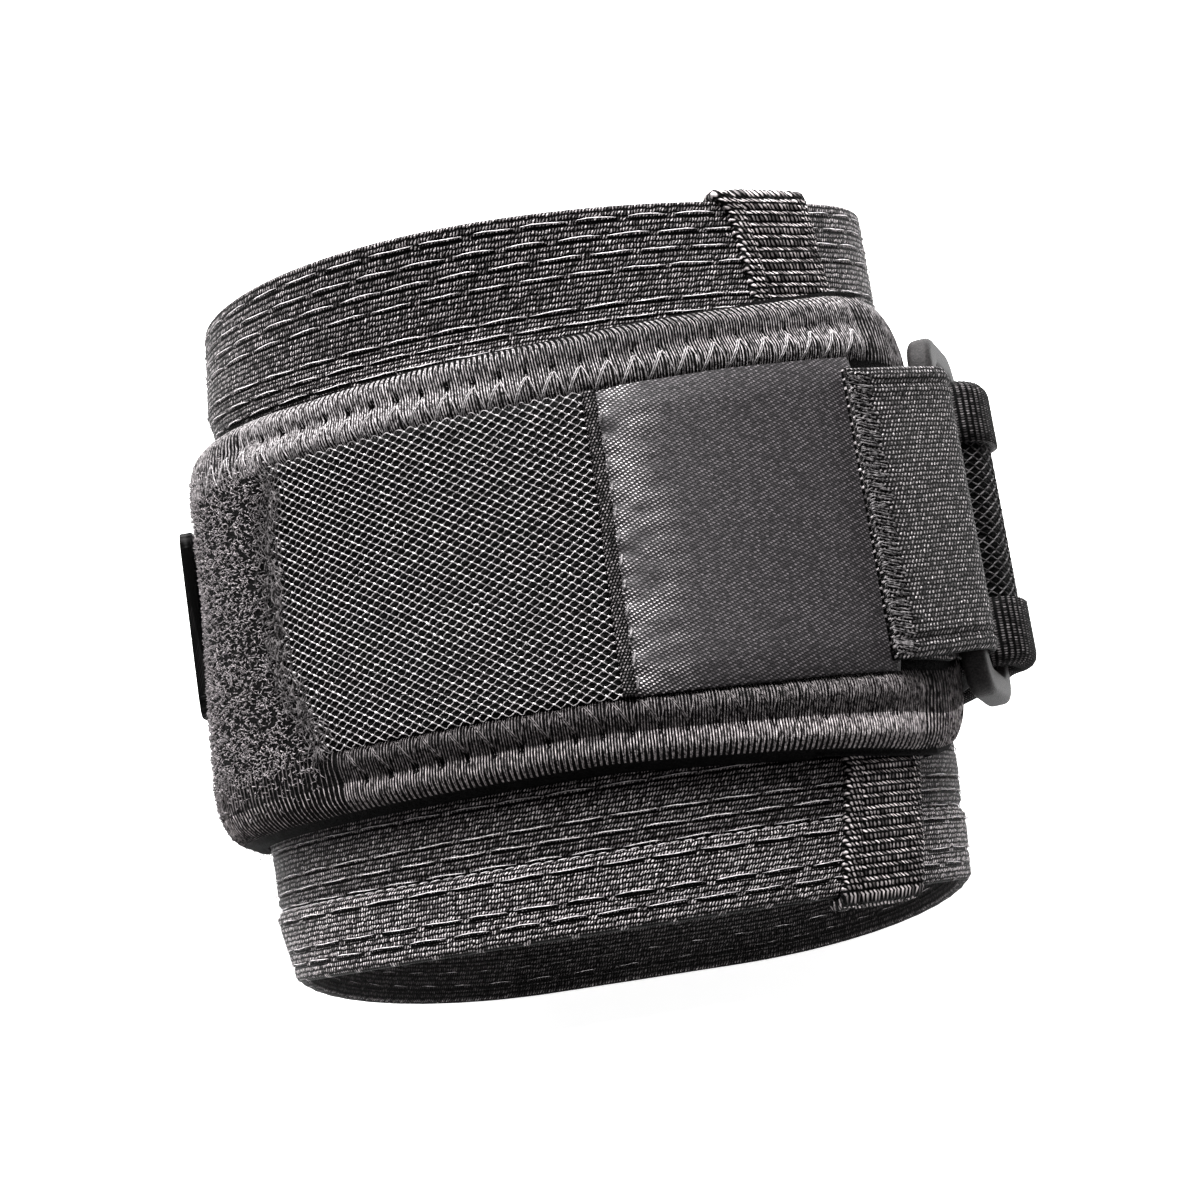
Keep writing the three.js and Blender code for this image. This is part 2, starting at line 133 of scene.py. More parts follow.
@dataclass
class ArmLoop:
    """The sleeve's outer surface, which closes round the forearm.

    A place on it is s, the arc length from the middle of the front to the right, y along the arm and
    n off the surface, all in millimetres.
    """

    back_depth: float = 50.0
    back_flat: float = 13.0
    rest_height: float = 54.1
    middle_y: float = 33.5
    ring_seat: Triple = (49.9, 1.9, 6.5)
    flank_lift: float = 3.0
    flank_reach: float = 19.0
    flank_from: float = 24.0
    front_steps: int = 300
    back_steps: int = 400
    row_step: float = 0.25
    shift: Array = field(init=False)
    front_arc: float = field(init=False)
    back_arc: float = field(init=False)
    chart: Array = field(init=False)

    def __post_init__(self) -> None:
        """Works out where the loop stands in the frame, and charts its outline at every height."""
        low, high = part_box("ring")
        seat = np.array(self.ring_seat) + (0, 0, self.rest_height)
        self.shift = np.array((low + high) / 2) - seat * MM
        self.front_arc, self.back_arc = (self._length(path) for path in self._paths(self.middle_y))
        heights = np.arange(LOWER_RIM, UPPER_RIM + self.row_step, self.row_step)
        self.chart = np.stack([self._chart_row(y) for y in heights])

    @property
    def length(self) -> float:
        """Length once round the loop."""
        return self.front_arc + self.back_arc

    @staticmethod
    def _length(path: Array) -> float:
        """Length of a line of points."""
        return float(np.linalg.norm(np.diff(path, axis=0), axis=1).sum())

    def _paths(self, y: float) -> tuple[Array, Array]:
        """Outline at one height: over the front to the right, and round the back to the left."""
        left, right, front, crest = (SECTIONS.at(y, name) for name in ("left", "right", "front", "crest"))
        turn = np.linspace(0, np.pi / 2, 200)
        rise = np.stack([crest - (left + crest) * np.cos(turn), front * np.sin(turn)], axis=1)
        fall = np.stack([crest + (right - crest) * np.sin(turn), front * np.cos(turn)], axis=1)
        deep, flat = self.back_depth, self.back_flat
        down = np.stack([flat + (right - flat) * np.cos(turn), -deep * np.sin(turn)], axis=1)
        climb = np.stack([-flat - (left - flat) * np.sin(turn), -deep * np.cos(turn)], axis=1)
        return np.concatenate([rise, fall[1:]]), np.concatenate([down, climb])

    def _chart_row(self, y: float) -> Array:
        """x, height, outward direction and sag round the loop at one height, at even steps."""
        parts = []
        for path, steps in zip(self._paths(y), (self.front_steps, self.back_steps)):
            reach = np.concatenate([[0], np.cumsum(np.linalg.norm(np.diff(path, axis=0), axis=1))])
            at = np.linspace(0, reach[-1], steps + 1)
            parts.append(np.stack([np.interp(at, reach, path[:, k]) for k in (0, 1)], axis=1))
        outline = np.concatenate([parts[0], parts[1][1:]])
        ahead = np.roll(outline[:-1], -1, axis=0) - np.roll(outline[:-1], 1, axis=0)
        ahead = np.concatenate([ahead, ahead[:1]])
        ahead /= np.linalg.norm(ahead, axis=1, keepdims=True)
        sag = SECTIONS.at(y, "sag") * np.maximum(0, outline[:, 1] / SECTIONS.at(y, "front"))
        half = self.front_arc / 2
        front = np.linspace(-half, half, self.front_steps + 1)
        back = np.linspace(0, self.back_arc, self.back_steps + 1)
        s = np.concatenate([front, half + back[1:]])
        lift = self.flank_lift * bump(s, half, self.flank_reach) * ease(y, self.flank_from, UPPER_RIM)
        return np.column_stack([outline, -ahead[:, 1], ahead[:, 0], sag + lift])

    def place(self, along: Array, across: Array, out: Array) -> Array:
        """Lays places on the loop.

        Args:
            along: arc length s from the middle of the front.
            across: height y along the arm.
            out: distance n off the surface.

        Returns:
            Points in the row frame, in metres.
        """
        s, y, n = np.broadcast_arrays(along, across, out)
        turned = np.mod(s + self.front_arc / 2, self.length)
        over = turned / self.front_arc * self.front_steps
        under = self.front_steps + (turned - self.front_arc) / self.back_arc * self.back_steps
        column = np.where(turned <= self.front_arc, over, under)
        row = np.clip((y - LOWER_RIM) / self.row_step, 0, len(self.chart) - 1.001)
        i, j = row.astype(int), np.minimum(column.astype(int), self.chart.shape[1] - 2)
        a, b = (row - i)[..., None], (column - j)[..., None]
        low = self.chart[i, j] * (1 - b) + self.chart[i, j + 1] * b
        high = self.chart[i + 1, j] * (1 - b) + self.chart[i + 1, j + 1] * b
        x, z, out_x, out_z, sag = np.moveaxis(low * (1 - a) + high * a, -1, 0)
        laid = np.stack([x + out_x * n, y + sag, z + out_z * n + self.rest_height], axis=-1)
        return laid * MM + self.shift

    def run(self, table: Plan, step: float, level: Callable[[Array], Array]) -> Array:
        """Points of a run that a table gives as offsets from the sleeve.

        Args:
            table: the run's places s and offsets n.
            step: distance between points.
            level: height of the run's middle along the arm.

        Returns:
            Points in metres.
        """
        first, last = table.ends()
        s = np.linspace(first, last, max(1, round(abs(last - first) / step)) + 1)
        return self.place(s, level(s), table.at(s, "n"))


class Route:
    """A line across the arm that a strip follows. Across runs along the arm, and out to the line's left."""

    def __init__(self, points: Array, rounds: int = 3) -> None:
        """Rounds the corners of the line.

        Args:
            points: the line's points in metres.
            rounds: how often each corner is cut.
        """
        for _ in range(rounds):
            cut = np.empty((2 * len(points), 3))
            cut[0], cut[-1] = points[0], points[-1]
            cut[1:-1:2] = 0.75 * points[:-1] + 0.25 * points[1:]
            cut[2:-1:2] = 0.25 * points[:-1] + 0.75 * points[1:]
            points = cut
        self.points = points
        self.reach = np.concatenate([[0], np.cumsum(np.linalg.norm(np.diff(points, axis=0), axis=1))]) / MM
        ahead = np.gradient(points, axis=0)
        self.normals = np.stack([-ahead[:, 2], np.zeros(len(points)), ahead[:, 0]], axis=1)
        self.normals /= np.linalg.norm(self.normals, axis=1, keepdims=True)

    @property
    def length(self) -> float:
        """Length of the line in millimetres."""
        return float(self.reach[-1])

    def place(self, along: Array, across: Array, out: Array) -> Array:
        """Lays places on the strip.

        Args:
            along: distance along the line.
            across: distance along the arm from the line.
            out: distance off the line.

        Returns:
            Points in the row frame, in metres.
        """
        along, across, out = np.broadcast_arrays(along, across, out)
        point = np.stack([np.interp(along, self.reach, self.points[:, k]) for k in range(3)], axis=-1)
        normal = np.stack([np.interp(along, self.reach, self.normals[:, k]) for k in range(3)], axis=-1)
        normal /= np.linalg.norm(normal, axis=-1, keepdims=True)
        point[..., 1] += across * MM
        return point + normal * out[..., None] * MM


# Meshes of cloth and thread


class Closing(Enum):
    """Which sides of a laid grid meet."""

    TUBE = "the last row meets the first, and the two ends are filled"
    RING = "the last row and the last column meet the first ones"


def new_object(name: str, mesh: bpy.types.Mesh) -> Piece:
    """Puts a mesh in the scene as a smooth object at the origin."""
    mesh.polygons.foreach_set("use_smooth", np.ones(len(mesh.polygons), bool))
    made = bpy.data.objects.new(name, mesh)
    bpy.context.scene.collection.objects.link(made)
    return made


def lay_grid(
    name: str, surface: Surface, along: Array, across: Array, out: Array, girth: Array, closing: Closing
) -> Piece:
    """Lays a closed strip of cloth on a surface.

    Args:
        name: the piece's name.
        surface: what it lies on.
        along: one place for each column.
        across: places across, a row of them for each column.
        out: offsets off the surface, likewise.
        girth: distance round the strip's section for each row, used by the weave.
        closing: which sides meet.

    Returns:
        The piece, with a map of the flat cloth in millimetres.
    """
    columns, rows = out.shape
    bm = bmesh.new()
    bm.loops.layers.uv.new("cloth")
    bmesh.ops.create_grid(bm, x_segments=columns - 1, y_segments=rows - 1, size=1.0, calc_uvs=True)
    mesh = bpy.data.meshes.new(name)
    bm.to_mesh(mesh)
    bm.free()
    flat = np.empty(len(mesh.vertices) * 3, np.float32)
    mesh.vertices.foreach_get("co", flat)
    flat = flat.reshape(-1, 3)
    share = (flat - flat.min(0)) / np.maximum(np.ptp(flat, axis=0), TINY)
    column = np.rint(share[:, 0] * (columns - 1)).astype(int)
    row = np.rint(share[:, 1] * (rows - 1)).astype(int)
    laid = surface.place(along[:, None], across, out)
    mesh.vertices.foreach_set("co", laid[column, row].astype(np.float32).ravel())
    corner = np.empty(len(mesh.loops) * 2, np.float32)
    mesh.uv_layers[0].uv.foreach_get("vector", corner)
    share = corner.reshape(-1, 2)
    corner = np.stack(
        [
            along[np.rint(share[:, 0] * (columns - 1)).astype(int)],
            girth[np.rint(share[:, 1] * (rows - 1)).astype(int)],
        ],
        axis=1,
    )
    mesh.uv_layers[0].uv.foreach_set("vector", corner.astype(np.float32).ravel())
    bm = bmesh.new()
    bm.from_mesh(mesh)
    bmesh.ops.remove_doubles(bm, verts=bm.verts, dist=WELD)
    if closing is Closing.TUBE:
        bmesh.ops.holes_fill(bm, edges=[edge for edge in bm.edges if edge.is_boundary], sides=0)
    bmesh.ops.recalc_face_normals(bm, faces=bm.faces)
    bm.to_mesh(mesh)
    bm.free()
    return new_object(name, mesh)


def lay_sheet(
    name: str,
    surface: Surface,
    along: Array,
    face: Array,
    back: Array,
    across: Callable[[Array, Array], Array],
    top: Callable[[Array, Array], Array],
    under: Callable[[Array, Array], Array],
    closing: Closing = Closing.TUBE,
    width: float = 1.0,
) -> Piece:
    """Lays a sheet with a face, a back and closed edges.

    Args:
        name: the piece's name.
        surface: what it lies on.
        along: one place for each column.
        face: shares of the width, from 0 to 1, where the face has its rows.
        back: the same for the back.
        across: place across for a place along and a share of the width.
        top: offset of the face for places along and across.
        under: offset of the back.
        closing: which sides meet.
        width: what a step of 1 across stands for, in millimetres.

    Returns:
        The piece.
    """
    share = np.concatenate([face, back[::-1], face[:1]])
    is_face = np.concatenate([np.ones(len(face)), np.zeros(len(back)), np.ones(1)]) > 0
    column = np.repeat(along[:, None], len(share), axis=1)
    places = across(column, share[None, :])
    out = np.where(is_face, top(column, places), under(column, places))
    girth = np.concatenate([[0], np.cumsum(np.abs(np.diff(places.mean(0))))]) * width
    return lay_grid(name, surface, along, places, out, girth, closing)


def lay_threads(
    name: str, surface: Surface, along: Array, across: Array, out: Array, half: Pair, sides: int = 4
) -> Piece:
    """Lays many threads of one kind on a surface, joined in one piece.

    Args:
        name: the piece's name.
        surface: what they lie on.
        along: places along, a row of points for each thread.
        across: places across, likewise.
        out: offsets of the threads' middles, likewise.
        half: half the thread's width and half its height.
        sides: sides of the thread.

    Returns:
        The piece.
    """
    threads, points = along.shape
    step_a, step_b = np.gradient(along, axis=1), np.gradient(across, axis=1)
    step = np.hypot(step_a, step_b) + TINY
    turn = 2 * np.pi * np.arange(sides) / sides
    taper = np.ones(points)
    taper[[0, -1]] = THREAD_END
    wide = half[0] * taper[None, :, None] * np.cos(turn)
    high = half[1] * taper[None, :, None] * np.sin(turn)
    ring = surface.place(
        along[..., None] - (step_b / step)[..., None] * wide,
        across[..., None] + (step_a / step)[..., None] * wide,
        out[..., None] + high,
    )
    index = np.arange(threads * points * sides).reshape(threads, points, sides)
    after = np.roll(index, -1, axis=2)
    quads = np.stack([index[:, :-1], after[:, :-1], after[:, 1:], index[:, 1:]], axis=-1).reshape(-1, 4)
    caps = np.concatenate([index[:, 0, ::-1], index[:, -1]])
    mesh = bpy.data.meshes.new(name)
    mesh.from_pydata(ring.reshape(-1, 3), [], quads.tolist() + caps.tolist())
    mesh.update()
    return new_object(name, mesh)


def lay_rows(name: str, surface: Surface, rows: list[Array], half: Pair, sides: int = 4) -> Piece:
    """Lays several rows of threads as one piece, each row a stack of places along, across and out."""
    along, across, out = np.concatenate(rows, axis=1)
    return lay_threads(name, surface, along, across, out, half, sides)


def shares(count: int) -> Array:
    """Even shares from 0 to 1."""
    return np.linspace(0, 1, count)


def between(edges: Callable[[Array], tuple[Array, Array]]) -> Callable[[Array, Array], Array]:
    """Spreads cloth between two edges.

    Args:
        edges: gives the upper and the lower edge at a place along.

    Returns:
        What gives the place across for a place along and a share of the width.
    """

    def across(along: Array, share: Array) -> Array:
        """Place across, from the upper edge at 0 to the lower at 1."""
        upper, lower = edges(along)
        return upper * (1 - share) + lower * share

    return across


def sunk_ends(share: Array, depth: float, sharpness: int) -> Array:
    """How far a stitch goes into the cloth at its two ends, where its share is -1 and 1."""
    return depth * np.abs(share) ** sharpness


def bump(place: Array, middle: float, reach: float) -> Array:
    """A smooth hill of height 1 about a middle."""
    return np.exp(-(((place - middle) / reach) ** 2))


def ease(place: Array, start: float, end: float) -> Array:
    """Smooth step from 0 at start to 1 at end."""
    share = np.clip((place - start) / (end - start), 0, 1)
    return share * share * (3 - 2 * share)


def pulse(place: Array, pitch: float, sharpness: float = 1.0) -> Array:
    """Rows of smooth ridges, 1 on the ridge and 0 between."""
    return (0.5 + 0.5 * np.cos(2 * np.pi * place / pitch)) ** sharpness


def rounded_edge(distance: Array, radius: float) -> Array:
    """How far a rounded edge falls below its flat, at a distance from the edge."""
    inside = np.clip(1 - distance / radius, 0, 1)
    return radius * (1 - np.sqrt(1 - inside**2))


@dataclass(frozen=True)
class Ridge:
    """A smooth ridge, or a groove: its height, its middle and its reach."""

    height: float
    middle: float
    reach: float

    def at(self, place: Array) -> Array:
        """Height at a place."""
        return self.height * bump(place, self.middle, self.reach)


@dataclass(frozen=True)
class Rise:
    """A smooth rise by an amount, between a start and an end."""

    by: float
    start: float
    end: float

    def at(self, place: Array) -> Array:
        """Height at a place."""
        return self.by * ease(place, self.start, self.end)

    def left(self, place: Array) -> Array:
        """What is left to rise at a place."""
        return self.by - self.at(place)


# Finishes


STITCH_DRIFT = 1.1
STITCH_ROUND = 0.6
STITCH_SHOWS = (0.48, 0.92)
STITCH_BRIGHT = (1.1, 0.1)
FIBRE_SHOWS = (0.34, 0.72)


class Graph:
    """Short calls for placing nodes in one node tree."""

    def __init__(self, tree: bpy.types.NodeTree) -> None:
        """Keeps the tree that the nodes go in."""
        self.tree = tree

    def node(self, kind: str, **sockets: object) -> bpy.types.Node:
        """Adds a node.

        Args:
            kind: the node's type.
            sockets: values or links for its inputs, by name with underscores for spaces.

        Returns:
            The node.
        """
        made = self.tree.nodes.new(kind)
        for name, value in sockets.items():
            self.feed(made.inputs[name.replace("_", " ")], value)
        return made

    def feed(self, socket: Socket, value: object) -> None:
        """Links a socket to another, or sets its value."""
        if isinstance(value, Socket):
            self.tree.links.new(value, socket)
        else:
            socket.default_value = value

    def math(self, operation: str, *values: object) -> Socket:
        """Adds a Math node.

        Args:
            operation: what it does.
            values: its inputs in order.

        Returns:
            Its result.
        """
        made = self.tree.nodes.new("ShaderNodeMath")
        made.operation = operation
        for socket, value in zip(made.inputs, values):
            self.feed(socket, value)
        return made.outputs[0]

    def group(self, tree: bpy.types.NodeTree, **sockets: object) -> bpy.types.Node:
        """Adds a node group.

        Args:
            tree: the group.
            sockets: values or links for its inputs, by name.

        Returns:
            The node.
        """
        made = self.node("ShaderNodeGroup")
        made.node_tree = tree
        for name, value in sockets.items():
            self.feed(made.inputs[name], value)
        return made

    def cloth(self) -> Socket:
        """Place on the flat cloth, in millimetres."""
        return self.node("ShaderNodeUVMap").outputs[0]

    def place(self) -> Socket:
        """Place in the row frame, in metres."""
        return self.node("ShaderNodeTexCoord").outputs["Object"]

    def split(self, vector: Socket) -> tuple[Socket, ...]:
        """The three parts of a vector."""
        return tuple(self.node("ShaderNodeSeparateXYZ", Vector=vector).outputs)

    def blend(self, share: object, first: object, second: object, kind: str = "MIX") -> Socket:
        """Mixes two colours.

        Args:
            share: how much of the second.
            first: the first colour.
            second: the second colour.
            kind: how they are mixed.

        Returns:
            The mixed colour.
        """
        made = self.tree.nodes.new("ShaderNodeMix")
        made.data_type = "RGBA"
        made.blend_type = kind
        self.feed(made.inputs[0], share)
        for socket, value in zip(made.inputs[6:8], (first, second)):
            self.feed(socket, value if isinstance(value, Socket) else (*value, 1.0))
        return made.outputs[2]

    def stretch(self, value: object, low: float, high: float) -> Socket:
        """Smooth step of a value between two limits."""
        made = self.node("ShaderNodeMapRange", Value=value, From_Min=low, From_Max=high)
        made.interpolation_type = "SMOOTHSTEP"
        return made.outputs[0]


def new_group(name: str, inputs: tuple[str, ...], outputs: tuple[str, ...]) -> bpy.types.NodeTree:
    """Makes an empty node group.

    Args:
        name: the group's name.
        inputs: numbers that go in, after a Vector.
        outputs: numbers that come out.

    Returns:
        The group.
    """
    group = bpy.data.node_groups.new(name, "ShaderNodeTree")
    group.interface.new_socket("Vector", in_out="INPUT", socket_type="NodeSocketVector")
    for way, names in (("INPUT", inputs), ("OUTPUT", outputs)):
        for socket in names:
            group.interface.new_socket(socket, in_out=way, socket_type="NodeSocketFloat")
    return group


def weave_group() -> bpy.types.NodeTree:
    """Rows of staggered stitches on a map in millimetres.

    Returns:
        A node group that puts out Thread, which is 1 on the threads, and Height.
    """
    found = bpy.data.node_groups.get("stitch rows")
    if found:
        return found
    group = new_group(
        "stitch rows", ("Column", "Row", "Stagger", "Slant", "Wander"), ("Thread", "Height")
    )
    g = Graph(group)
    given = g.node("NodeGroupInput").outputs
    drift = g.node("ShaderNodeTexNoise", Vector=given["Vector"], Scale=STITCH_DRIFT, Detail=2.0)
    drift_u, drift_v, _ = g.node("ShaderNodeSeparateColor", Color=drift.outputs["Color"]).outputs
    u, v, _ = g.split(given["Vector"])
    drifted_v = g.math("MULTIPLY_ADD", g.math("SUBTRACT", drift_v, 0.5), given["Wander"], v)
    drifted_u = g.math("MULTIPLY_ADD", g.math("SUBTRACT", drift_u, 0.5), given["Wander"], u)
    row = g.math("DIVIDE", drifted_v, given["Row"])
    row_number = g.math("FLOOR", row)
    row_share = g.math("FRACT", row)
    lean = g.math("MULTIPLY", g.math("SUBTRACT", row_share, 0.5), given["Slant"])
    lead = g.math("MULTIPLY_ADD", row_number, given["Stagger"], lean)
    column = g.math("ADD", g.math("DIVIDE", drifted_u, given["Column"]), lead)
    column_hill = g.math("SINE", g.math("MULTIPLY", g.math("FRACT", column), math.pi))
    row_hill = g.math("SINE", g.math("MULTIPLY", row_share, math.pi))
    hill = g.math("MULTIPLY", column_hill, g.math("POWER", row_hill, STITCH_ROUND))
    cell = g.node("ShaderNodeCombineXYZ", X=g.math("FLOOR", column), Y=row_number)
    chance = g.node("ShaderNodeTexWhiteNoise", Vector=cell.outputs[0]).outputs["Value"]
    bright = g.math("MULTIPLY_ADD", chance, *STITCH_BRIGHT)
    thread = g.math("MULTIPLY", g.stretch(hill, *STITCH_SHOWS), bright)
    g.node("NodeGroupOutput", Thread=thread, Height=hill)
    return group


def fibre_group() -> bpy.types.NodeTree:
    """Fine loose fibres that break up a flat colour.

    Returns:
        A node group that puts out Value, from 0 to 1.
    """
    found = bpy.data.node_groups.get("loose fibres")
    if found:
        return found
    group = new_group("loose fibres", ("Scale",), ("Value",))
    g = Graph(group)
    given = g.node("NodeGroupInput").outputs
    fine = g.node(
        "ShaderNodeTexNoise", Vector=given["Vector"], Scale=given["Scale"], Detail=3.0, Roughness=0.65
    )
    g.node("NodeGroupOutput", Value=g.stretch(fine.outputs[0], *FIBRE_SHOWS))
    return group


@dataclass(frozen=True)
class Finish:
    """What every finish has.

    Attributes:
        name: the material's name.
        dark: colour between the threads or in the hollows.
        light: colour on the threads or on the highs.
        roughness: how matt it is.
        specular: strength of its reflections.
        tint: what all its colours are multiplied by, a warm grey.
    """

    name: str
    dark: Colour
    light: Colour
    roughness: float = 0.55
    specular: float = 0.04
    tint: Colour = (1.0, 0.943, 0.96)

    def material(self) -> bpy.types.Material:
        """The material, made at its first use."""
        found = bpy.data.materials.get(self.name)
        return found or self.make()

    def make(self) -> bpy.types.Material:
        """Makes the material.

        Returns:
            A material whose nodes give its colour and relief.
        """
        made = bpy.data.materials.new(self.name)
        made.use_nodes = True
        made.node_tree.nodes.clear()
        g = Graph(made.node_tree)
        shader = g.node("ShaderNodeBsdfPrincipled")
        shader.inputs["Roughness"].default_value = self.roughness
        shader.inputs["Specular IOR Level"].default_value = self.specular
        colour, height, depth = self.surface(g)
        g.feed(shader.inputs["Base Color"], g.blend(1.0, colour, self.tint, "MULTIPLY"))
        relief = g.node("ShaderNodeBump", Height=height, Strength=1.0, Distance=depth * MM)
        g.feed(shader.inputs["Normal"], relief.outputs[0])
        g.node("ShaderNodeOutputMaterial", Surface=shader.outputs[0])
        return made

    def surface(self, g: Graph) -> Look:
        """Colour, height and depth of the relief in millimetres."""
        raise NotImplementedError


@dataclass(frozen=True)
class Weave(Finish):
    """Cloth with rows of stitches that follow the flat cloth.

    Attributes:
        column: pitch of the stitches along the cloth, in millimetres.
        row: pitch of the rows across it.
        stagger: how far each row is shifted, in stitches.
        slant: how far a stitch leans over its row, in stitches.
        wander: how far the rows stray, in millimetres.
        depth: depth of the relief in millimetres.
        turn: how far the rows are turned on the cloth, in degrees.
        fuzz: share of the threads that loose fibres hide.
        fibre: loose fibres for each millimetre.
        fibre_height: how high they lie, as a share of the stitches.
    """

    column: float = 0.5
    row: float = 1.0
    stagger: float = 0.5
    slant: float = 0.3
    wander: float = 0.1
    depth: float = 0.25
    turn: float = 0.0
    fuzz: float = 0.45
    fibre: float = 3.2
    fibre_height: float = 0.25

    def surface(self, g: Graph) -> Look:
        """Stitches with fibres over them."""
        flat = g.cloth()
        turned = g.node("ShaderNodeMapping", Vector=flat, Rotation=(0, 0, math.radians(self.turn)))
        rows = g.group(
            weave_group(), Vector=turned.outputs[0], Column=self.column, Row=self.row,
            Stagger=self.stagger, Slant=self.slant, Wander=self.wander,
        ).outputs
        fibres = g.group(fibre_group(), Vector=flat, Scale=self.fibre).outputs[0]
        worn = g.math("MULTIPLY_ADD", fibres, self.fuzz, 1 - self.fuzz)
        thread = g.math("MULTIPLY", g.math("MULTIPLY", rows["Thread"], worn), self.strength(g))
        height = g.math("MULTIPLY_ADD", fibres, self.fibre_height, rows["Height"])
        return g.blend(thread, self.dark, self.light), height, self.depth

    def strength(self, g: Graph) -> object:
        """How strongly the threads show."""
        return 1.0


@dataclass(frozen=True)
class BrickKnit(Weave):
    """Knit in bands of rows. Under the long floats of most bands runs a thin painted shadow line, broken
    like bricks.

    Attributes:
        band: height of a band, in millimetres.
        plain: one band in so many has no floats.
        line: shares of the band between which the painted shadow line lies.
        line_soft: how softly it starts and ends.
        brick: length of a float and the stitches after it, in millimetres.
        lead: how far each band is shifted, in bricks.
        gap: share of the brick that the painted shadow line darkens.
        gap_soft: how softly it ends.
        hem: where the hem starts on the flat cloth, in millimetres.
        hem_painted_light: how much brighter the threads are painted in the hem, a painted light.
        hem_soft: how softly that starts.
        lining: where the inner face starts on the flat cloth, in millimetres.
        lining_painted_shade: how much darker the inner face is painted, a painted shade.
        lining_soft: how softly that starts.
    """

    band: float = 1.85
    plain: int = 5
    line: Pair = (0.77, 0.95)
    line_soft: Pair = (0.06, 0.03)
    brick: float = 6.5
    lead: float = 0.43
    gap: float = 0.86
    gap_soft: float = 0.03
    hem: float = UPPER_RIM - HEM_TOP
    hem_painted_light: float = 0.9
    hem_soft: float = 0.3
    lining: float = UPPER_RIM - LOWER_RIM
    lining_painted_shade: float = 0.9
    lining_soft: float = 0.5

    def strength(self, g: Graph) -> object:
        """How strongly the threads show, raised in the hem by a painted light."""
        _, v, _ = g.split(g.cloth())
        inside = g.stretch(v, self.hem - self.hem_soft, self.hem + self.hem_soft)
        # Painted light: the threads in the hem are painted brighter.
        return g.math("MULTIPLY_ADD", inside, self.hem_painted_light, 1.0)

    def surface(self, g: Graph) -> Look:
        """Stitches, with the gaps sunk below them and darkened by a painted shadow, and the inner face
        darkened by a painted shade.
        """
        colour, height, depth = super().surface(g)
        u, v, _ = g.split(g.cloth())
        band = g.math("DIVIDE", v, self.band)
        number, share = g.math("FLOOR", band), g.math("FRACT", band)
        place = g.math("FRACT", g.math("MULTIPLY_ADD", number, self.lead, g.math("DIVIDE", u, self.brick)))
        off_middle = g.math("ABSOLUTE", g.math("SUBTRACT", place, 0.5))
        inside = g.stretch(g.math("SUBTRACT", self.gap / 2, off_middle), 0.0, self.gap_soft)
        begun, ended = (
            g.stretch(share, start, start + soft) for start, soft in zip(self.line, self.line_soft)
        )
        turn = g.math("FRACT", g.math("DIVIDE", number, self.plain))
        floated = g.math("LESS_THAN", turn, 1 - 1.5 / self.plain)
        # Painted shadow: a thin dark line under the floats, broken like bricks.
        line = g.math("SUBTRACT", begun, ended)
        sunk = g.math("MULTIPLY", g.math("MULTIPLY", inside, line), floated)
        # Painted shade: the sleeve's inner face is painted darker.
        within = g.stretch(v, self.lining, self.lining + self.lining_soft)
        painted_shade = g.math("MAXIMUM", sunk, g.math("MULTIPLY", within, self.lining_painted_shade))
        return g.blend(painted_shade, colour, self.dark), g.math("SUBTRACT", height, sunk), depth


@dataclass(frozen=True)
class Satin(Weave):
    """Satin with a painted sheen beside one edge, where stitches pucker it.

    Attributes:
        painted_sheen: colour of the painted sheen on the threads beside the edge.
        edge: where the edge is on the flat cloth, in millimetres.
        reach: where the painted sheen ends and where it is full, from the edge.
        cloud: how closely the patches of the painted sheen lie along and across.
        cloud_shows: between which values of its noise a patch fades in.
        thread_shows: between which heights the threads take the painted sheen.
    """

    painted_sheen: Colour = (0.2, 0.2, 0.2)
    edge: float = 0.0
    reach: Pair = (9.0, 0.8)
    cloud: Pair = (0.22, 0.3)
    cloud_shows: Pair = (0.34, 0.7)
    thread_shows: Pair = (0.75, 1.2)

    def surface(self, g: Graph) -> Look:
        """Twill, with a broken painted sheen along the edge."""
        colour, height, depth = super().surface(g)
        flat = g.cloth()
        u, _, _ = g.split(flat)
        broad = g.node("ShaderNodeMapping", Vector=flat, Scale=(*self.cloud, 1.0))
        cloud = g.node("ShaderNodeTexNoise", Vector=broad.outputs[0], Scale=1.0, Detail=3.0).outputs[0]
        # Painted sheen: threads beside the edge turn bright in broken patches.
        near = g.stretch(u, *(self.edge + reach for reach in self.reach))
        share = g.math("MULTIPLY", near, g.stretch(cloud, *self.cloud_shows))
        bright = g.blend(g.stretch(height, *self.thread_shows), self.dark, self.painted_sheen)
        return g.blend(share, colour, bright), height, depth


@dataclass(frozen=True)
class Yarn(Finish):
    """Threads of twisted filaments, or pile, with specks that follow the piece itself.

    Attributes:
        speck: specks for each millimetre.
        depth: depth of the relief in millimetres.
        grain: how closely the specks lie along each axis. A low value draws them out into streaks.
    """

    speck: float = 2.5
    depth: float = 0.06
    grain: Triple = (1.0, 1.0, 1.0)

    def surface(self, g: Graph) -> Look:
        """Specks of light and dark filaments."""
        drawn = g.node("ShaderNodeMapping", Vector=g.place(), Scale=self.grain)
        fibres = g.group(fibre_group(), Vector=drawn.outputs[0], Scale=self.speck / MM).outputs[0]
        return g.blend(fibres, self.dark, self.light), fibres, self.depth


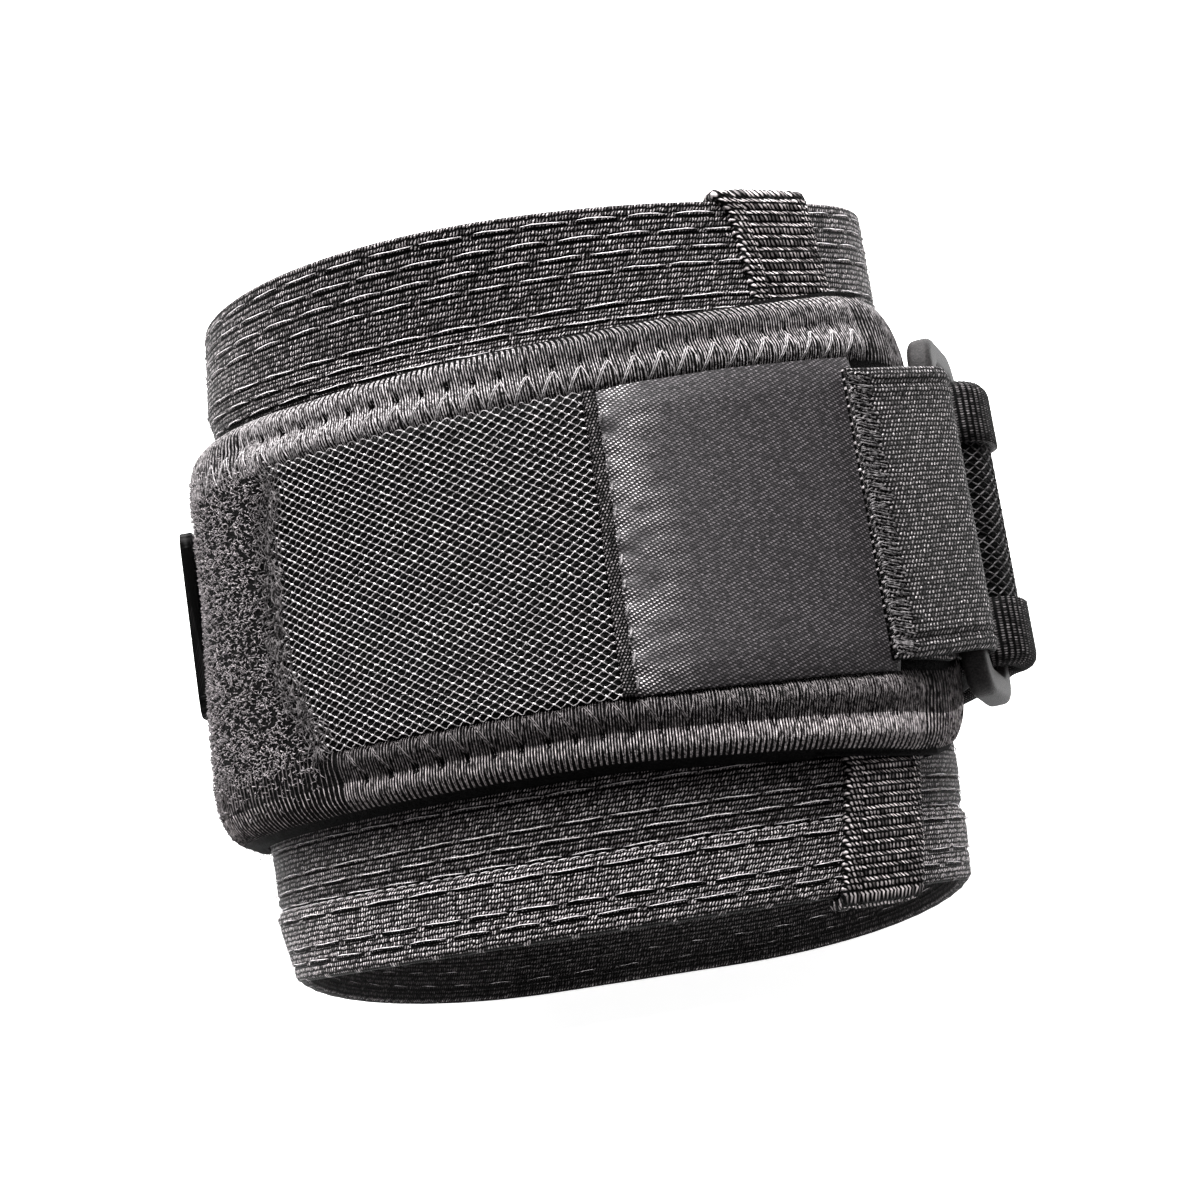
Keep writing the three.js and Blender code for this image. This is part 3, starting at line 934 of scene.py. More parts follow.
@dataclass(frozen=True)
class RollRibPaintedShade(Yarn):
    """Ribs of a roll with a painted shade that darkens them towards its two ends.

    Attributes:
        left: where the painted shade on the left end starts and where it is darkest, across the arm in
            millimetres.
        right: the same for the right end.
        fade: how dark the painted shade on the left and the right end is at most.
    """

    left: Pair = (-22.0, -58.0)
    right: Pair = (30.0, 46.0)
    fade: Pair = (0.45, 0.65)

    def surface(self, g: Graph) -> Look:
        """Filaments darkened towards the ends by a painted shade."""
        colour, height, depth = super().surface(g)
        x, _, _ = g.split(g.place())
        # Painted shade towards the two ends of the roll.
        ends = [
            g.math("MULTIPLY", g.stretch(x, first * MM, last * MM), most)
            for (first, last), most in zip((self.left, self.right), self.fade)
        ]
        return g.blend(g.math("MAXIMUM", *ends), colour, self.dark), height, depth


class Slot(str, Enum):
    """The record's material slots."""

    KNIT = "knit_elastic"
    SEAM = "ribbed_webbing"
    PAD = "pad_pile"
    MESH = "open_mesh"
    LABEL = "satin"
    TAB = "tab_webbing"
    RING = "ring_plastic"
    STRAP = "strap_mesh"
    BINDING = "binding_tape"
    HOOK = "hook_tape"


def dress(piece: Piece, finish: Finish, slot: Slot, *nodes: str) -> Piece:
    """Gives a piece its finish and its place on the frame.

    Args:
        piece: the piece.
        finish: its finish.
        slot: a material slot of the record; not used.
        nodes: CAD nodes that it stands for.

    Returns:
        The piece.
    """
    piece.data.materials.append(finish.material())
    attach(piece, BODY)
    if nodes:
        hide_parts(*nodes)
    LOG.info("%s: %d faces, %s", piece.name, len(piece.data.polygons), finish.name)
    return piece


BLACK: Colour = (0.0005, 0.0005, 0.0005)
# Sleeve knit: painted shadow under the floats, painted shade on the inner face, painted light in the hem.
SLEEVE_KNIT = BrickKnit(
    "sleeve knit", BLACK, (0.8, 0.775, 0.775),
    column=0.41, row=0.6, slant=0.9, wander=0.55, depth=0.3, fuzz=0.8,
)
SLEEVE_FLOAT = Yarn("sleeve float thread", (0.3, 0.3, 0.3), (0.92, 0.915, 0.92))
# A darker copy of the float thread for the inner face: painted shade.
LINING_FLOAT_PAINTED_SHADE = Yarn("lining float thread, painted shade", (0.06, 0.06, 0.06), (0.45, 0.45, 0.45))
SEAM_RIB = Weave(
    "seam webbing", BLACK, (0.98, 0.94, 0.935),
    column=0.62, row=0.7, slant=0.9, wander=0.2, depth=0.35, turn=90, fuzz=0.45,
)
PAD_COVER = Yarn("pad cover", BLACK, (0.004, 0.004, 0.004), 0.9, speck=2.2, depth=0.2)
RIB_LOOK = {"roughness": 0.5, "speck": 3.4, "grain": (1.0, 0.3, 1.0)}
# The upper roll's ribs carry a painted shade towards both ends.
PAD_RIB = RollRibPaintedShade("pad edge rib", (0.012, 0.0117, 0.0117), (0.49, 0.485, 0.485), **RIB_LOOK)
# A brighter copy of the rib for the lower border's outer roll: painted light.
PAD_RIB_LOW_PAINTED_LIGHT = Yarn("lower pad edge rib, painted light", (0.012, 0.0116, 0.0116), (0.56, 0.54, 0.537), **RIB_LOOK)
# A darker copy of the rib for the lower border's inner roll and zigzag: painted shade.
PAD_RIB_SHADE = Yarn("lower inner rib, painted shade", (0.003, 0.0029, 0.0029), (0.21, 0.203, 0.202), **RIB_LOOK)
PAD_STITCH = Yarn("zigzag thread", (0.16, 0.16, 0.16), (0.5, 0.5, 0.5), 0.5)
PAD_PILE = Yarn("loop pile", (0.001, 0.001, 0.001), (0.53, 0.512, 0.517), speck=4.2)
PAD_TUFT = Yarn("mesh edge tuft", (0.001, 0.001, 0.001), (0.15, 0.147, 0.147), speck=1.8)
MESH_BACK = Weave("mesh backing", BLACK, (0.003, 0.003, 0.003), column=1.5, row=0.55, depth=0.1)
MESH_YARN = Yarn("mesh yarn", (0.04, 0.04, 0.04), (0.34, 0.34, 0.34), 0.5, speck=1.8)
# The knots take a brighter copy of the mesh yarn: real stitches, with a painted highlight in their colour.
MESH_KNOT_PAINTED_HIGHLIGHT = Yarn("mesh knot, painted highlight", (0.2, 0.2, 0.2), (0.8, 0.8, 0.8), 0.5, speck=1.4)
# The label satin carries a painted sheen beside its left edge.
LABEL_SATIN = Satin(
    "label satin", (0.012, 0.0117, 0.0122), (0.125, 0.12, 0.125), 0.5, specular=0.1,
    column=0.6, row=0.3, stagger=0.37, slant=0.2, wander=0.1, depth=0.04, turn=-28, fuzz=0.5,
    painted_sheen=(0.98, 0.965, 0.97), edge=4.3,
)
FOLD_TAPE = Weave(
    "label fold", BLACK, (0.3, 0.29, 0.29), column=0.4, row=0.4, wander=0.3, depth=0.15, fuzz=0.85,
)
TAB_WEAVE = Weave(
    "tab webbing", BLACK, (0.74, 0.722, 0.722),
    column=0.66, row=0.6, slant=0.3, wander=0.4, depth=0.5, fuzz=0.95,
)
TAB_STITCH = Yarn("overlock thread", (0.004, 0.004, 0.004), (0.24, 0.24, 0.24), speck=1.8)
STRAP_BACK = Weave("strap backing", BLACK, (0.003, 0.003, 0.003), column=1.2, row=0.6, depth=0.1)
STRAP_YARN = Yarn("strap net yarn", (0.008, 0.008, 0.008), (0.15, 0.15, 0.15), 0.5, speck=1.4)
BINDING_RIB = Weave(
    "binding tape", BLACK, (0.17, 0.166, 0.166), column=0.62, row=0.35, stagger=0, slant=0, depth=0.12,
)
SEW_THREAD = Yarn("sewing thread", (0.006, 0.006, 0.006), (0.06, 0.06, 0.06))
HOOK_WEAVE = Weave("hook tape", BLACK, (0.012, 0.012, 0.012), column=0.5, row=0.5, depth=0.1)
RING_PLASTIC = Yarn(
    "ring plastic", (0.009, 0.009, 0.0092), (0.026, 0.025, 0.0245), 0.55,
    specular=0.1, speck=4.0, depth=0.02,
)


# The sleeve and its seam


@dataclass
class Sleeve:
    """Knit elastic tube with raised rows, long float threads laid like bricks, and thin rims.

    Attributes:
        hem_groove: the groove over the hem, from the hem's top.
        rim_rows: distances from a rim at which the rounded edge has rows.
        recess: reach of the hollow under the painted shadow line, and its least depth between two bricks.
        back_fade: where the hollows fade out before the middle of the back.
        float_long: shortest and longest float, in bricks.
        float_wave: how far a float strays up and down, and how fast.
        float_lift: how far a float stands off the outer and the inner face.
        hem_thread: rise, lean, lift and sink of the stitches that hold the hem.
    """

    loop: ArmLoop
    wall: float = 2.0
    hem_top: float = HEM_TOP
    hem_proud: float = 0.5
    hem_ease: float = 0.8
    hem_groove: Ridge = Ridge(0.4, 0.5, 0.4)
    hem_stitch: float = 1.7
    hem_thread: tuple[float, float, float, float] = (0.05, 0.12, 0.12, 0.3)
    rim: float = 0.48
    rim_thin: float = 1.0
    rim_reach: float = 5.0
    rim_rows: tuple[float, ...] = (0.0, 0.06, 0.16, 0.3)
    row_depth: float = 0.3
    recess: Pair = (0.12, 0.35)
    stitch_depth: float = 0.1
    back_fade: Pair = (3.0, 0.5)
    columns: int = 200
    outer_rows: int = 356
    inner_rows: int = 24
    float_at: float = 0.7
    float_points: int = 5
    float_stray: float = 0.03
    float_long: Pair = (0.72, 0.95)
    float_wave: Pair = (0.06, 0.9)
    float_sink: float = 0.2
    float_lift: Pair = (0.2, 0.06)
    float_half: Pair = (0.068, 0.1)
    seed: int = 11

    def relief(self, s: Array, down: Array) -> Array:
        """Depth of the knit's rows below the cloth's face.

        Args:
            s: arc length.
            down: distance from the upper rim.

        Returns:
            The depth in millimetres.
        """
        number = np.floor(down / SLEEVE_KNIT.band)
        share = np.mod(down / SLEEVE_KNIT.band, 1)
        reach, least = self.recess
        recess = bump(share, sum(SLEEVE_KNIT.line) / 2, reach) * self.has_floats(number)
        start, end = (self.loop.length / 2 - before for before in self.back_fade)
        patch = pulse(s + self.shift_of(number) - SLEEVE_KNIT.brick / 2, SLEEVE_KNIT.brick, 0.5)
        patch = patch * (1 - ease(np.abs(s), start, end))
        rows = self.stitch_depth * (1 - pulse(down - SLEEVE_KNIT.row / 2, SLEEVE_KNIT.row))
        return self.row_depth * recess * (least + (1 - least) * patch) + rows

    def has_floats(self, number: Array) -> Array:
        """True for the bands that have float threads."""
        return np.mod(number, SLEEVE_KNIT.plain) < SLEEVE_KNIT.plain - 1

    def shift_of(self, number: Array) -> Array:
        """How far the bricks of a band are shifted along it."""
        return SLEEVE_KNIT.brick * np.mod(number * SLEEVE_KNIT.lead, 1.0)

    def proud(self, y: Array) -> Array:
        """Extra thickness of the hem."""
        return self.hem_proud * ease(y, self.hem_top, self.hem_top - self.hem_ease)

    def edge(self, y: Array) -> Array:
        """Fall of the rounded rims."""
        return rounded_edge(np.minimum(UPPER_RIM - y, y - LOWER_RIM), self.rim)

    def face(self, s: Array, y: Array) -> Array:
        """Offset of the outer face."""
        groove = self.hem_groove.at(y - self.hem_top)
        return self.proud(y) - self.edge(y) - groove - self.relief(s, UPPER_RIM - y)

    def inside(self, s: Array, y: Array) -> Array:
        """Offset of the inner face."""
        near = np.minimum(UPPER_RIM - y, y - LOWER_RIM)
        thin = self.rim_thin * (1 - ease(near, 0, self.rim_reach))
        return -self.wall + thin + self.edge(y) + self.relief(s, UPPER_RIM - y)

    def build(self) -> None:
        """Builds the knit and the float threads of its two faces."""
        half = self.loop.length / 2
        s = np.linspace(-half, half, self.columns)
        tall = UPPER_RIM - LOWER_RIM
        rims = np.array(self.rim_rows) / tall
        start = self.rim / tall
        outer, inner = (
            np.concatenate([rims, np.linspace(start, 1 - start, rows), 1 - rims[::-1]])
            for rows in (self.outer_rows, self.inner_rows)
        )
        knit = lay_sheet(
            "sleeve_knit", self.loop, s, outer, inner,
            lambda column, share: UPPER_RIM - share * tall + 0 * column,
            self.face, self.inside, Closing.RING,
        )
        dress(knit, SLEEVE_KNIT, Slot.KNIT, "sleeve")
        floats = dress(self.floats("sleeve_floats", tall, 1), SLEEVE_FLOAT, Slot.KNIT)
        # Painted shade: the inner floats take a darker copy of the float thread.
        lining = dress(self.floats("lining_floats", tall, -1), LINING_FLOAT_PAINTED_SHADE, Slot.KNIT)
        self.loop.length * MM

    def floats(self, name: str, tall: float, face: int) -> Piece:
        """Float threads on one face, and on the outer one the row of stitches that holds the hem.

        Args:
            name: the piece's name.
            tall: height of the sleeve.
            face: 1 for the outer face, -1 for the inner.

        Returns:
            The threads as one piece.
        """
        chance = np.random.default_rng(self.seed)
        share = np.linspace(-0.5, 0.5, self.float_points)
        brick = SLEEVE_KNIT.brick
        wave, rate = self.float_wave
        off_face, off_lining = self.float_lift
        count = int(self.loop.length / brick)
        lines = []
        for number in filter(self.has_floats, range(int(tall / SLEEVE_KNIT.band))):
            down = (number + self.float_at) * SLEEVE_KNIT.band
            stray = chance.uniform(-self.float_stray, self.float_stray, count)
            middles = (np.arange(count) - count // 2 + 0.5 + stray) * brick
            longs = chance.uniform(*self.float_long, count) * brick
            s = middles[:, None] - self.shift_of(number) + longs[:, None] * share[None, :]
            y = UPPER_RIM - down + wave * np.sin(s * rate + number)
            base = self.face(s, y) + off_face if face > 0 else self.inside(s, y) - off_lining
            lines.append(np.stack([s, y, base - face * sunk_ends(share * 2, self.float_sink, 6)]))
        if face > 0:
            rise, lean, lift, sink = self.hem_thread
            s = (np.arange(int(self.loop.length / self.hem_stitch)) * self.hem_stitch)[:, None]
            s = s + 0.8 * self.hem_stitch * share
            y = np.full_like(s, self.hem_top + rise) + lean * share
            lines.append(np.stack([s, y, self.face(s, y) + lift - sunk_ends(share * 2, sink, 4)]))
        return lay_rows(name, self.loop, lines, self.float_half, sides=3)


@dataclass
class SeamBinding:
    """Ribbed webbing over the sleeve's seam, turned in over both rims.

    Attributes:
        corner: how much of each corner at the rims is cut.
        hem_slope: where it climbs the hem, above and below the hem's top.
        right_selvedge: where the right selvedge starts.
        rib_wave: how far the ribs wave, and how fast along and from row to row.
        knot: pitch of the knots on a rib, and their shift from row to row.
        chain: pitch of the selvedge's stitches, and their lean.
        rounds: how sharp the ribs and the selvedge's stitches are.
        levels: share of the knots in a rib, and height of the selvedge.
        groove: the groove beside the left selvedge.
    """

    loop: ArmLoop
    sleeve: Sleeve
    thick: float = 1.4
    turn_in: float = 9.0
    width: float = 13.0
    corner: float = 0.5
    hem_slope: Pair = (0.5, 1.2)
    selvedge: float = 2.3
    right_selvedge: Pair = (10.6, 11.0)
    edge: float = 0.6
    rib: float = 1.4
    rib_wave: Triple = (0.12, 2.4, 2.0)
    knot: Pair = (0.62, 0.31)
    chain: Pair = (0.75, 0.5)
    rounds: Pair = (0.6, 0.7)
    relief: float = 0.55
    levels: Pair = (0.25, 0.45)
    groove: Ridge = Ridge(0.3, 0.2, 0.25)
    step: float = 0.2
    plan: Plan = Plan(
        ("y", "left", "right"),
        (
            (44.5, 25.2, 39.3), (43.2, 26.8, 39.5), (33.5, 28.2, 40.6),
            (-29.5, 29.6, 41.6), (-44.2, 28.2, 41.2),
        ),
        ease=0.6,
    )

    def __post_init__(self) -> None:
        """Lays out the line from inside the upper rim, down the outside, to inside the lower rim."""
        top, bottom = UPPER_RIM + CLEARANCE, LOWER_RIM - CLEARANCE
        inside, outside = -self.sleeve.wall - CLEARANCE, CLEARANCE
        proud = outside + self.sleeve.hem_proud
        turn, cut = self.turn_in, self.corner
        above, below = self.hem_slope
        corners = [
            (top - turn, inside), (top - cut, inside), (top, inside + cut),
            (top, outside - cut), (top - cut, outside),
            (self.sleeve.hem_top + above, outside), (self.sleeve.hem_top - below, proud),
            (bottom + cut, proud), (bottom, proud - cut),
            (bottom, inside + cut), (bottom + cut, inside), (bottom + turn, inside),
        ]
        line = np.array([(y, 0, n) for y, n in corners])
        self.line = Route(line * MM, rounds=2)

    @property
    def length(self) -> float:
        """Length of the webbing."""
        return self.line.length

    def place(self, along: Array, across: Array, out: Array) -> Array:
        """Lays places on the webbing.

        Args:
            along: distance along the webbing from its upper end.
            across: share of its width, from 0 at the left to 1 at the right.
            out: distance off its inner face.

        Returns:
            Points in metres.
        """
        along, across, out = np.broadcast_arrays(along, across, out)
        laid = self.line.place(along, np.zeros_like(along), -out) / MM
        y, n = laid[..., 0], laid[..., 2]
        left, right = self.plan.at(y, "left"), self.plan.at(y, "right")
        return self.loop.place(left + (right - left) * across, y, n)

    def face(self, along: Array, across: Array) -> Array:
        """Offset of the outer face: ribs across, a flat selvedge on each side."""
        place = across * self.width
        middle = ease(place, self.selvedge, self.selvedge + 0.5) * (1 - ease(place, *self.right_selvedge))
        row = np.floor(along / self.rib)
        wave, rate, shift = self.rib_wave
        waved = along + wave * np.sin(place * rate + row * shift)
        ribs = pulse(waved - self.rib / 2, self.rib, self.rounds[0])
        knot, step = self.knot
        knots = pulse(place + step * row, knot)
        pitch, lean = self.chain
        chain = pulse(along + lean * np.abs(place - self.selvedge / 2), pitch, self.rounds[1])
        edge = rounded_edge(np.minimum(place, self.width - place), self.edge)
        knotted, level = self.levels
        relief = middle * ribs * (1 - knotted + knotted * knots) + (1 - middle) * level * (1 + chain)
        groove = self.groove.at(place - self.selvedge)
        return self.thick - self.relief + self.relief * relief - edge - groove

    def build(self) -> None:
        """Builds the webbing."""
        along = np.arange(0, self.length, self.step)
        piece = lay_sheet(
            "seam_webbing", self, along, shares(52), shares(5),
            lambda column, share: share + 0 * column, self.face, lambda column, share: 0 * column,
            width=self.width,
        )
        dress(piece, SEAM_RIB, Slot.SEAM, "seam_binding")
        self.length * MM


# The pad and what is sewn on it


@dataclass
class Pad:
    """Foam pad with stitched rolls along its edges, a channel for the panels and loop pile on its left.

    Attributes:
        plan: the pad's edges, and how full it is.
        profile: height over a border with two rolls, by inset from the edge.
        dome: height where the two rolls have run into one.
        border: width of the two borders, as a factor.
        least: least thickness over the seam and elsewhere.
        merge_left: where the upper and the lower border run into one, left of the middle.
        merge_right: the same on the right.
        pull: hollows that the stitches pull beside the channel, by inset.
        dimple: depth and reach of the hollows in the groove.
        pile_low: how far the pile goes right below the middle.
        pile_high: the same above the middle.
        pile_rim: how much further the loops stay off the rolls.
        pile_ragged: mean and spread of the loops past the pile's right end.
        rib_parting: where the lower border's outer ribs, in painted light, end and its inner ones, in
            painted shade, start.
        rib_join: how the two ribs of a pair part, by inset.
        zigzag_span: inset at which a zigzag thread starts, and how far it goes.
        tuft_rows: first and last place of the tufts, and their pitch.
        tuft_root: mean and spread of their roots past the pile's right end.
    """

    loop: ArmLoop
    plan: Plan = Plan(
        ("s", "upper", "lower", "fill"),
        (
            (-74, 22.5, -20.0, 0.46), (-72.5, 26.0, -23.2, 0.56), (-69, 28.4, -25.5, 0.74),
            (-62, 29.0, -26.1, 0.97), (-54, 28.9, -26.2, 1.0), (-32, 28.7, -26.0, 1.0),
            (0, 29.7, -25.9, 1.0), (26, 31.5, -27.7, 1.0), (38, 32.7, -28.6, 0.97),
            (44, 32.8, -28.7, 0.82), (49, 32.0, -27.8, 0.66), (53, 30.0, -25.6, 0.56),
            (55.5, 26.0, -22.0, 0.42),
        ),
        ease=1.2,
    )
    profile: Plan = Plan(
        ("inset", "height"),
        (
            (0, 1.9), (0.6, 3.8), (1.9, 5.2), (3.3, 5.1), (4.0, 4.75), (4.8, 5.2), (6.2, 6.1), (7.6, 5.8),
            (8.3, 4.9), (12, 4.9),
        ),
        ease=0.35,
    )
    channel: float = 4.9
    channel_inset: float = 8.7
    dome: Plan = Plan(
        ("inset", "height"),
        ((0, 1.9), (0.7, 3.5), (2.0, 4.8), (4.0, 5.6), (7.0, 5.9), (12, 5.9)),
        ease=0.35,
    )
    border: Plan = Plan(
        ("s", "upper", "lower"),
        ((-40, 1.03, 1.0), (4, 1.08, 1.0), (20, 1.1, 1.08), (36, 1.16, 1.22)),
    )
    seam_recess: Pair = (25.0, 43.5)
    recess_depth: float = 1.7
    least: Pair = (1.0, 0.15)
    end_round: float = 2.2
    end_columns: float = 1.2
    merge_left: Pair = (36.0, 25.0)
    merge_reach: float = 14.0
    merge_right: Pair = (32.0, 47.0)
    stitch: float = 3.2
    pull: Ridge = Ridge(0.35, 8.1, 0.7)
    groove: float = 4.0
    dimple: Pair = (0.7, 0.4)
    dimple_least: float = 0.4
    dimple_most: Ridge = Ridge(0.6, -18.0, 22.0)
    pile_end: float = -39.8
    pile_stray: float = 5.0
    pile_edge: float = -39.9
    pile_low: Rise = Rise(5.0, 4.0, 19.0)
    pile_high: Rise = Rise(1.6, 8.0, 21.0)
    pile_soft: Pair = (-0.6, 1.2)
    pile_inset: Pair = (5.8, 7.0)
    pile_margin: Pair = (1.5, 5.5)
    pile_least: float = 2.5
    pile_rim: Rise = Rise(5.0, 52.0, 66.0)
    pile_ragged: Pair = (0.4, 0.8)
    pile_reach: Pair = (0.25, 0.55)
    pile_tall: Pair = (0.15, 0.55)
    pile_root: float = 0.1
    pile_count: int = 8200
    pile_seed: int = 23
    pile_half: Pair = (0.075, 0.075)
    rib: float = 0.69
    rib_step: float = 0.445
    rib_ends: Pair = (2.0, 1.2)
    rib_span: Pair = (0.02, 8.92)
    rib_parting: Pair = (4.3, 3.7)
    rib_spread: float = 1.15
    rib_join: Rise = Rise(0.65, 0.5, 2.6)
    rib_pull: Rise = Rise(0.1, 3.0, 7.0)
    rib_lean: float = 0.07
    rib_start: Rise = Rise(0.9, 0.0, 0.6)
    rib_end: Rise = Rise(0.25, 8.0, 8.9)
    rib_lift: float = 0.02
    rib_dip: float = 0.35
    rib_half: Pair = (0.085, 0.17)
    zigzag_lean: float = 2.0
    zigzag_from: tuple[int, int] = (-15, -9)
    zigzag_to: int = 13
    zigzag_span: Pair = (4.5, 3.7)
    zigzag_shifts: Triple = (0.0, 0.26, 0.1)
    zigzag_lift: float = 0.2
    zigzag_sink: float = 0.4
    zigzag_half: Pair = (0.06, 0.09)
    tuft: int = 22
    tuft_rows: Triple = (-17.0, 19.0, 1.7)
    tuft_fan: float = 2.6
    tuft_reach: Pair = (1.0, 3.2)
    tuft_root: Pair = (1.6, 0.7)
    tuft_seed: int = 31

    def edges(self, s: Array) -> tuple[Array, Array]:
        """Upper and lower edge of the pad at an arc length."""
        return self.plan.at(s, "upper"), self.plan.at(s, "lower")

    def under(self, s: Array) -> Array:
        """Offset of the pad's underside, which is hollow over the seam."""
        left, right = self.seam_recess
        inside = ease(s, left - 0.4, left + 0.1) * (1 - ease(s, right - 0.1, right + 0.4))
        return CLEARANCE + self.recess_depth * inside

    def pile_left(self, y: Array) -> Array:
        """Where the loop pile ends and the mesh begins, further right towards both rolls."""
        return self.pile_edge + self.pile_low.at(-y) + self.pile_high.at(y)

    def face(self, s: Array, y: Array) -> Array:
        """Offset of the pad's face.

        Args:
            s: arc length.
            y: height along the arm.

        Returns:
            The offset in millimetres.
        """
        inset = self.inset(s, y)
        height = self.profile.at(inset, "height")
        merged = self.merged(s, y)
        piled = ease(self.pile_left(y) - s, *self.pile_soft) * ease(inset, *self.pile_inset)
        height = height + (self.dome.at(inset, "height") - height) * np.maximum(piled, merged)
        height = height * self.plan.at(s, "fill")
        first, last = self.plan.ends()
        end = np.clip(np.minimum(s - first, last - s) / self.end_round, 0.02, 1)
        height = height * np.sqrt(end * (2 - end))
        sewn = (1 - piled) * (1 - merged)
        pulls = self.pull.at(inset) * pulse(s + self.stitch / 2, self.stitch, 2) * sewn
        height = height - self.dimple[0] * self.dimples(s, y) - pulls
        under = self.under(s)
        return np.maximum(height, under + np.where(under > 1, *self.least))

    def merged(self, s: Array, y: Array) -> Array:
        """Share, from 0 to 1, by which the two rolls of a border have run into one towards its ends."""
        start = np.where(y > 0, *self.merge_left)
        return ease(-s - start, 0, self.merge_reach) + ease(s, *self.merge_right)

    def dimples(self, s: Array, y: Array) -> Array:
        """Hollows in the groove between the rolls where the stitches go in, deepest left of the middle."""
        holes = bump(self.inset(s, y), self.groove, self.dimple[1]) * pulse(s, self.stitch, 13)
        return holes * (1 - self.merged(s, y)) * (self.dimple_least + self.dimple_most.at(s))

    def inset(self, s: Array, y: Array) -> Array:
        """Distance from the nearer edge, as a share of the border's width times its least width."""
        upper, lower = self.edges(s)
        above = (upper - y) / self.border.at(s, "upper")
        below = (y - lower) / self.border.at(s, "lower")
        return np.maximum(0, np.minimum(above, below))

    def from_edge(self, s: Array, inset: Array, side: int) -> Array:
        """Height along the arm of a place in the upper (0) or the lower (1) border."""
        name = ("upper", "lower")[side]
        return self.plan.at(s, name) + (2 * side - 1) * inset * self.border.at(s, name)

    def build(self) -> None:
        """Builds the cover, the ribs of its edges, the zigzag stitching and the pile."""
        first, last = self.plan.ends()
        tip = self.end_columns * shares(6)
        middle = np.arange(first + 1.6, last - 1.4, self.stitch / 8)
        along = np.concatenate([first + tip, middle, last - tip[::-1]])
        border = np.linspace(0, 0.17, 34)
        face = np.concatenate([border, np.linspace(0.18, 0.82, 30), 1 - border[::-1]])
        cover = lay_sheet(
            "pad_cover", self.loop, along, face, shares(8), between(self.edges),
            self.face, lambda s, y: self.under(s),
        )
        dress(cover, PAD_COVER, Slot.PAD, "pad")
        start, end = self.rib_span
        outer_end, inner_start = self.rib_parting
        threads = (
            (self.ribs("pad_ribs_upper", 0, start, end), PAD_RIB),
            # The lower border's outer ribs take a painted light.
            (self.ribs("pad_ribs_lower", 1, start, outer_end), PAD_RIB_LOW_PAINTED_LIGHT),
            # The lower border's inner ribs and lower zigzag take a painted shade.
            (self.ribs("pad_ribs_lower_inner", 1, inner_start, end), PAD_RIB_SHADE),
            (self.zigzag(0), PAD_STITCH),
            (self.zigzag(1), PAD_RIB_SHADE),
            (self.pile(), PAD_PILE),
            (self.fringe(), PAD_TUFT),
        )
        for piece, finish in threads:
            dress(piece, finish, Slot.PAD)

    def ribs(self, name: str, side: int, start: float, end: float) -> Piece:
        """Fine ribs across a border, in pairs that join at the pad's edge and singly towards its ends.

        Args:
            name: the piece's name.
            side: 0 for the upper border, 1 for the lower.
            start: inset at which they start.
            end: inset at which they end.

        Returns:
            The ribs as one piece.
        """
        first, last = self.plan.ends()
        points = 1 + round((end - start) / self.rib_step)
        inset = start + (end - start) * shares(points) ** self.rib_spread
        middles = np.arange(first + self.rib_ends[0], last - self.rib_ends[1], self.rib)
        paired = middles[self.merged(middles, np.full_like(middles, 1.0 - 2 * side)) < 0.5]
        lines = []
        for half, kept in ((-1, middles), (1, paired)):
            apart = half * self.rib / 4 * (1 - self.rib_join.left(inset))
            pull = np.sin(2 * np.pi * kept / self.stitch)[:, None] * self.rib_pull.at(inset)
            s = kept[:, None] + apart + pull + self.rib_lean * inset
            y = self.from_edge(s, inset, side)
            low = self.rib_start.left(inset) + self.rib_end.at(inset) + self.rib_dip * self.dimples(s, y)
            lines.append(np.stack([s, y, self.face(s, y) + self.rib_lift - low]))
        return lay_rows(name, self.loop, lines, self.rib_half, sides=3)

    def zigzag(self, side: int) -> Piece:
        """Zigzag stitches over the inner roll: two threads lean from each dimple, one goes to the next.

        Args:
            side: 0 for the upper border, 1 for the lower.

        Returns:
            The stitches as one piece.
        """
        share = shares(9)
        start, span = self.zigzag_span
        lean = self.zigzag_lean
        lines = []
        for shift, reach in zip(self.zigzag_shifts, (lean, lean, lean - self.stitch)):
            tops = np.arange(self.zigzag_from[side], self.zigzag_to) * self.stitch + shift
            s = tops[:, None] - reach * share
            y = self.from_edge(s, start + span * share, side)
            n = self.face(s, y) + self.zigzag_lift - sunk_ends(2 * share - 1, self.zigzag_sink, 8)
            lines.append(np.stack([s, y, n]))
        name = ("upper", "lower")[side]
        return lay_rows(f"pad_zigzag_{name}", self.loop, lines, self.zigzag_half)

    def pile(self) -> Piece:
        """Loop pile: many short loops, seeded so that they always fall the same way."""
        chance = np.random.default_rng(self.pile_seed)
        count = self.pile_count
        after, past = self.pile_margin
        s = chance.uniform(self.plan.ends()[0] + after, self.pile_end + past, count)
        upper, lower = self.edges(s)
        stray = self.pile_stray * chance.uniform(0, 1, count) ** 2
        rim = self.pile_least + self.pile_rim.left(-s) - stray
        y = lower + rim + (upper - lower - 2 * rim) * chance.uniform(0, 1, count)
        ragged = self.pile_left(y) + chance.normal(*self.pile_ragged, count)
        keep = s < ragged
        s, y = s[keep], y[keep]
        turn = chance.uniform(0, 2 * np.pi, len(s))
        reach = chance.uniform(*self.pile_reach, len(s))
        share = np.linspace(-1, 1, 3)
        path_s = s[:, None] + (np.cos(turn) * reach)[:, None] * share
        path_y = y[:, None] + (np.sin(turn) * reach)[:, None] * share
        tall = chance.uniform(*self.pile_tall, len(s))[:, None]
        n = self.face(s, y)[:, None] - self.pile_root + tall * (1 - share**2)
        return lay_threads("pad_pile", self.loop, path_s, path_y, n, self.pile_half, sides=3)

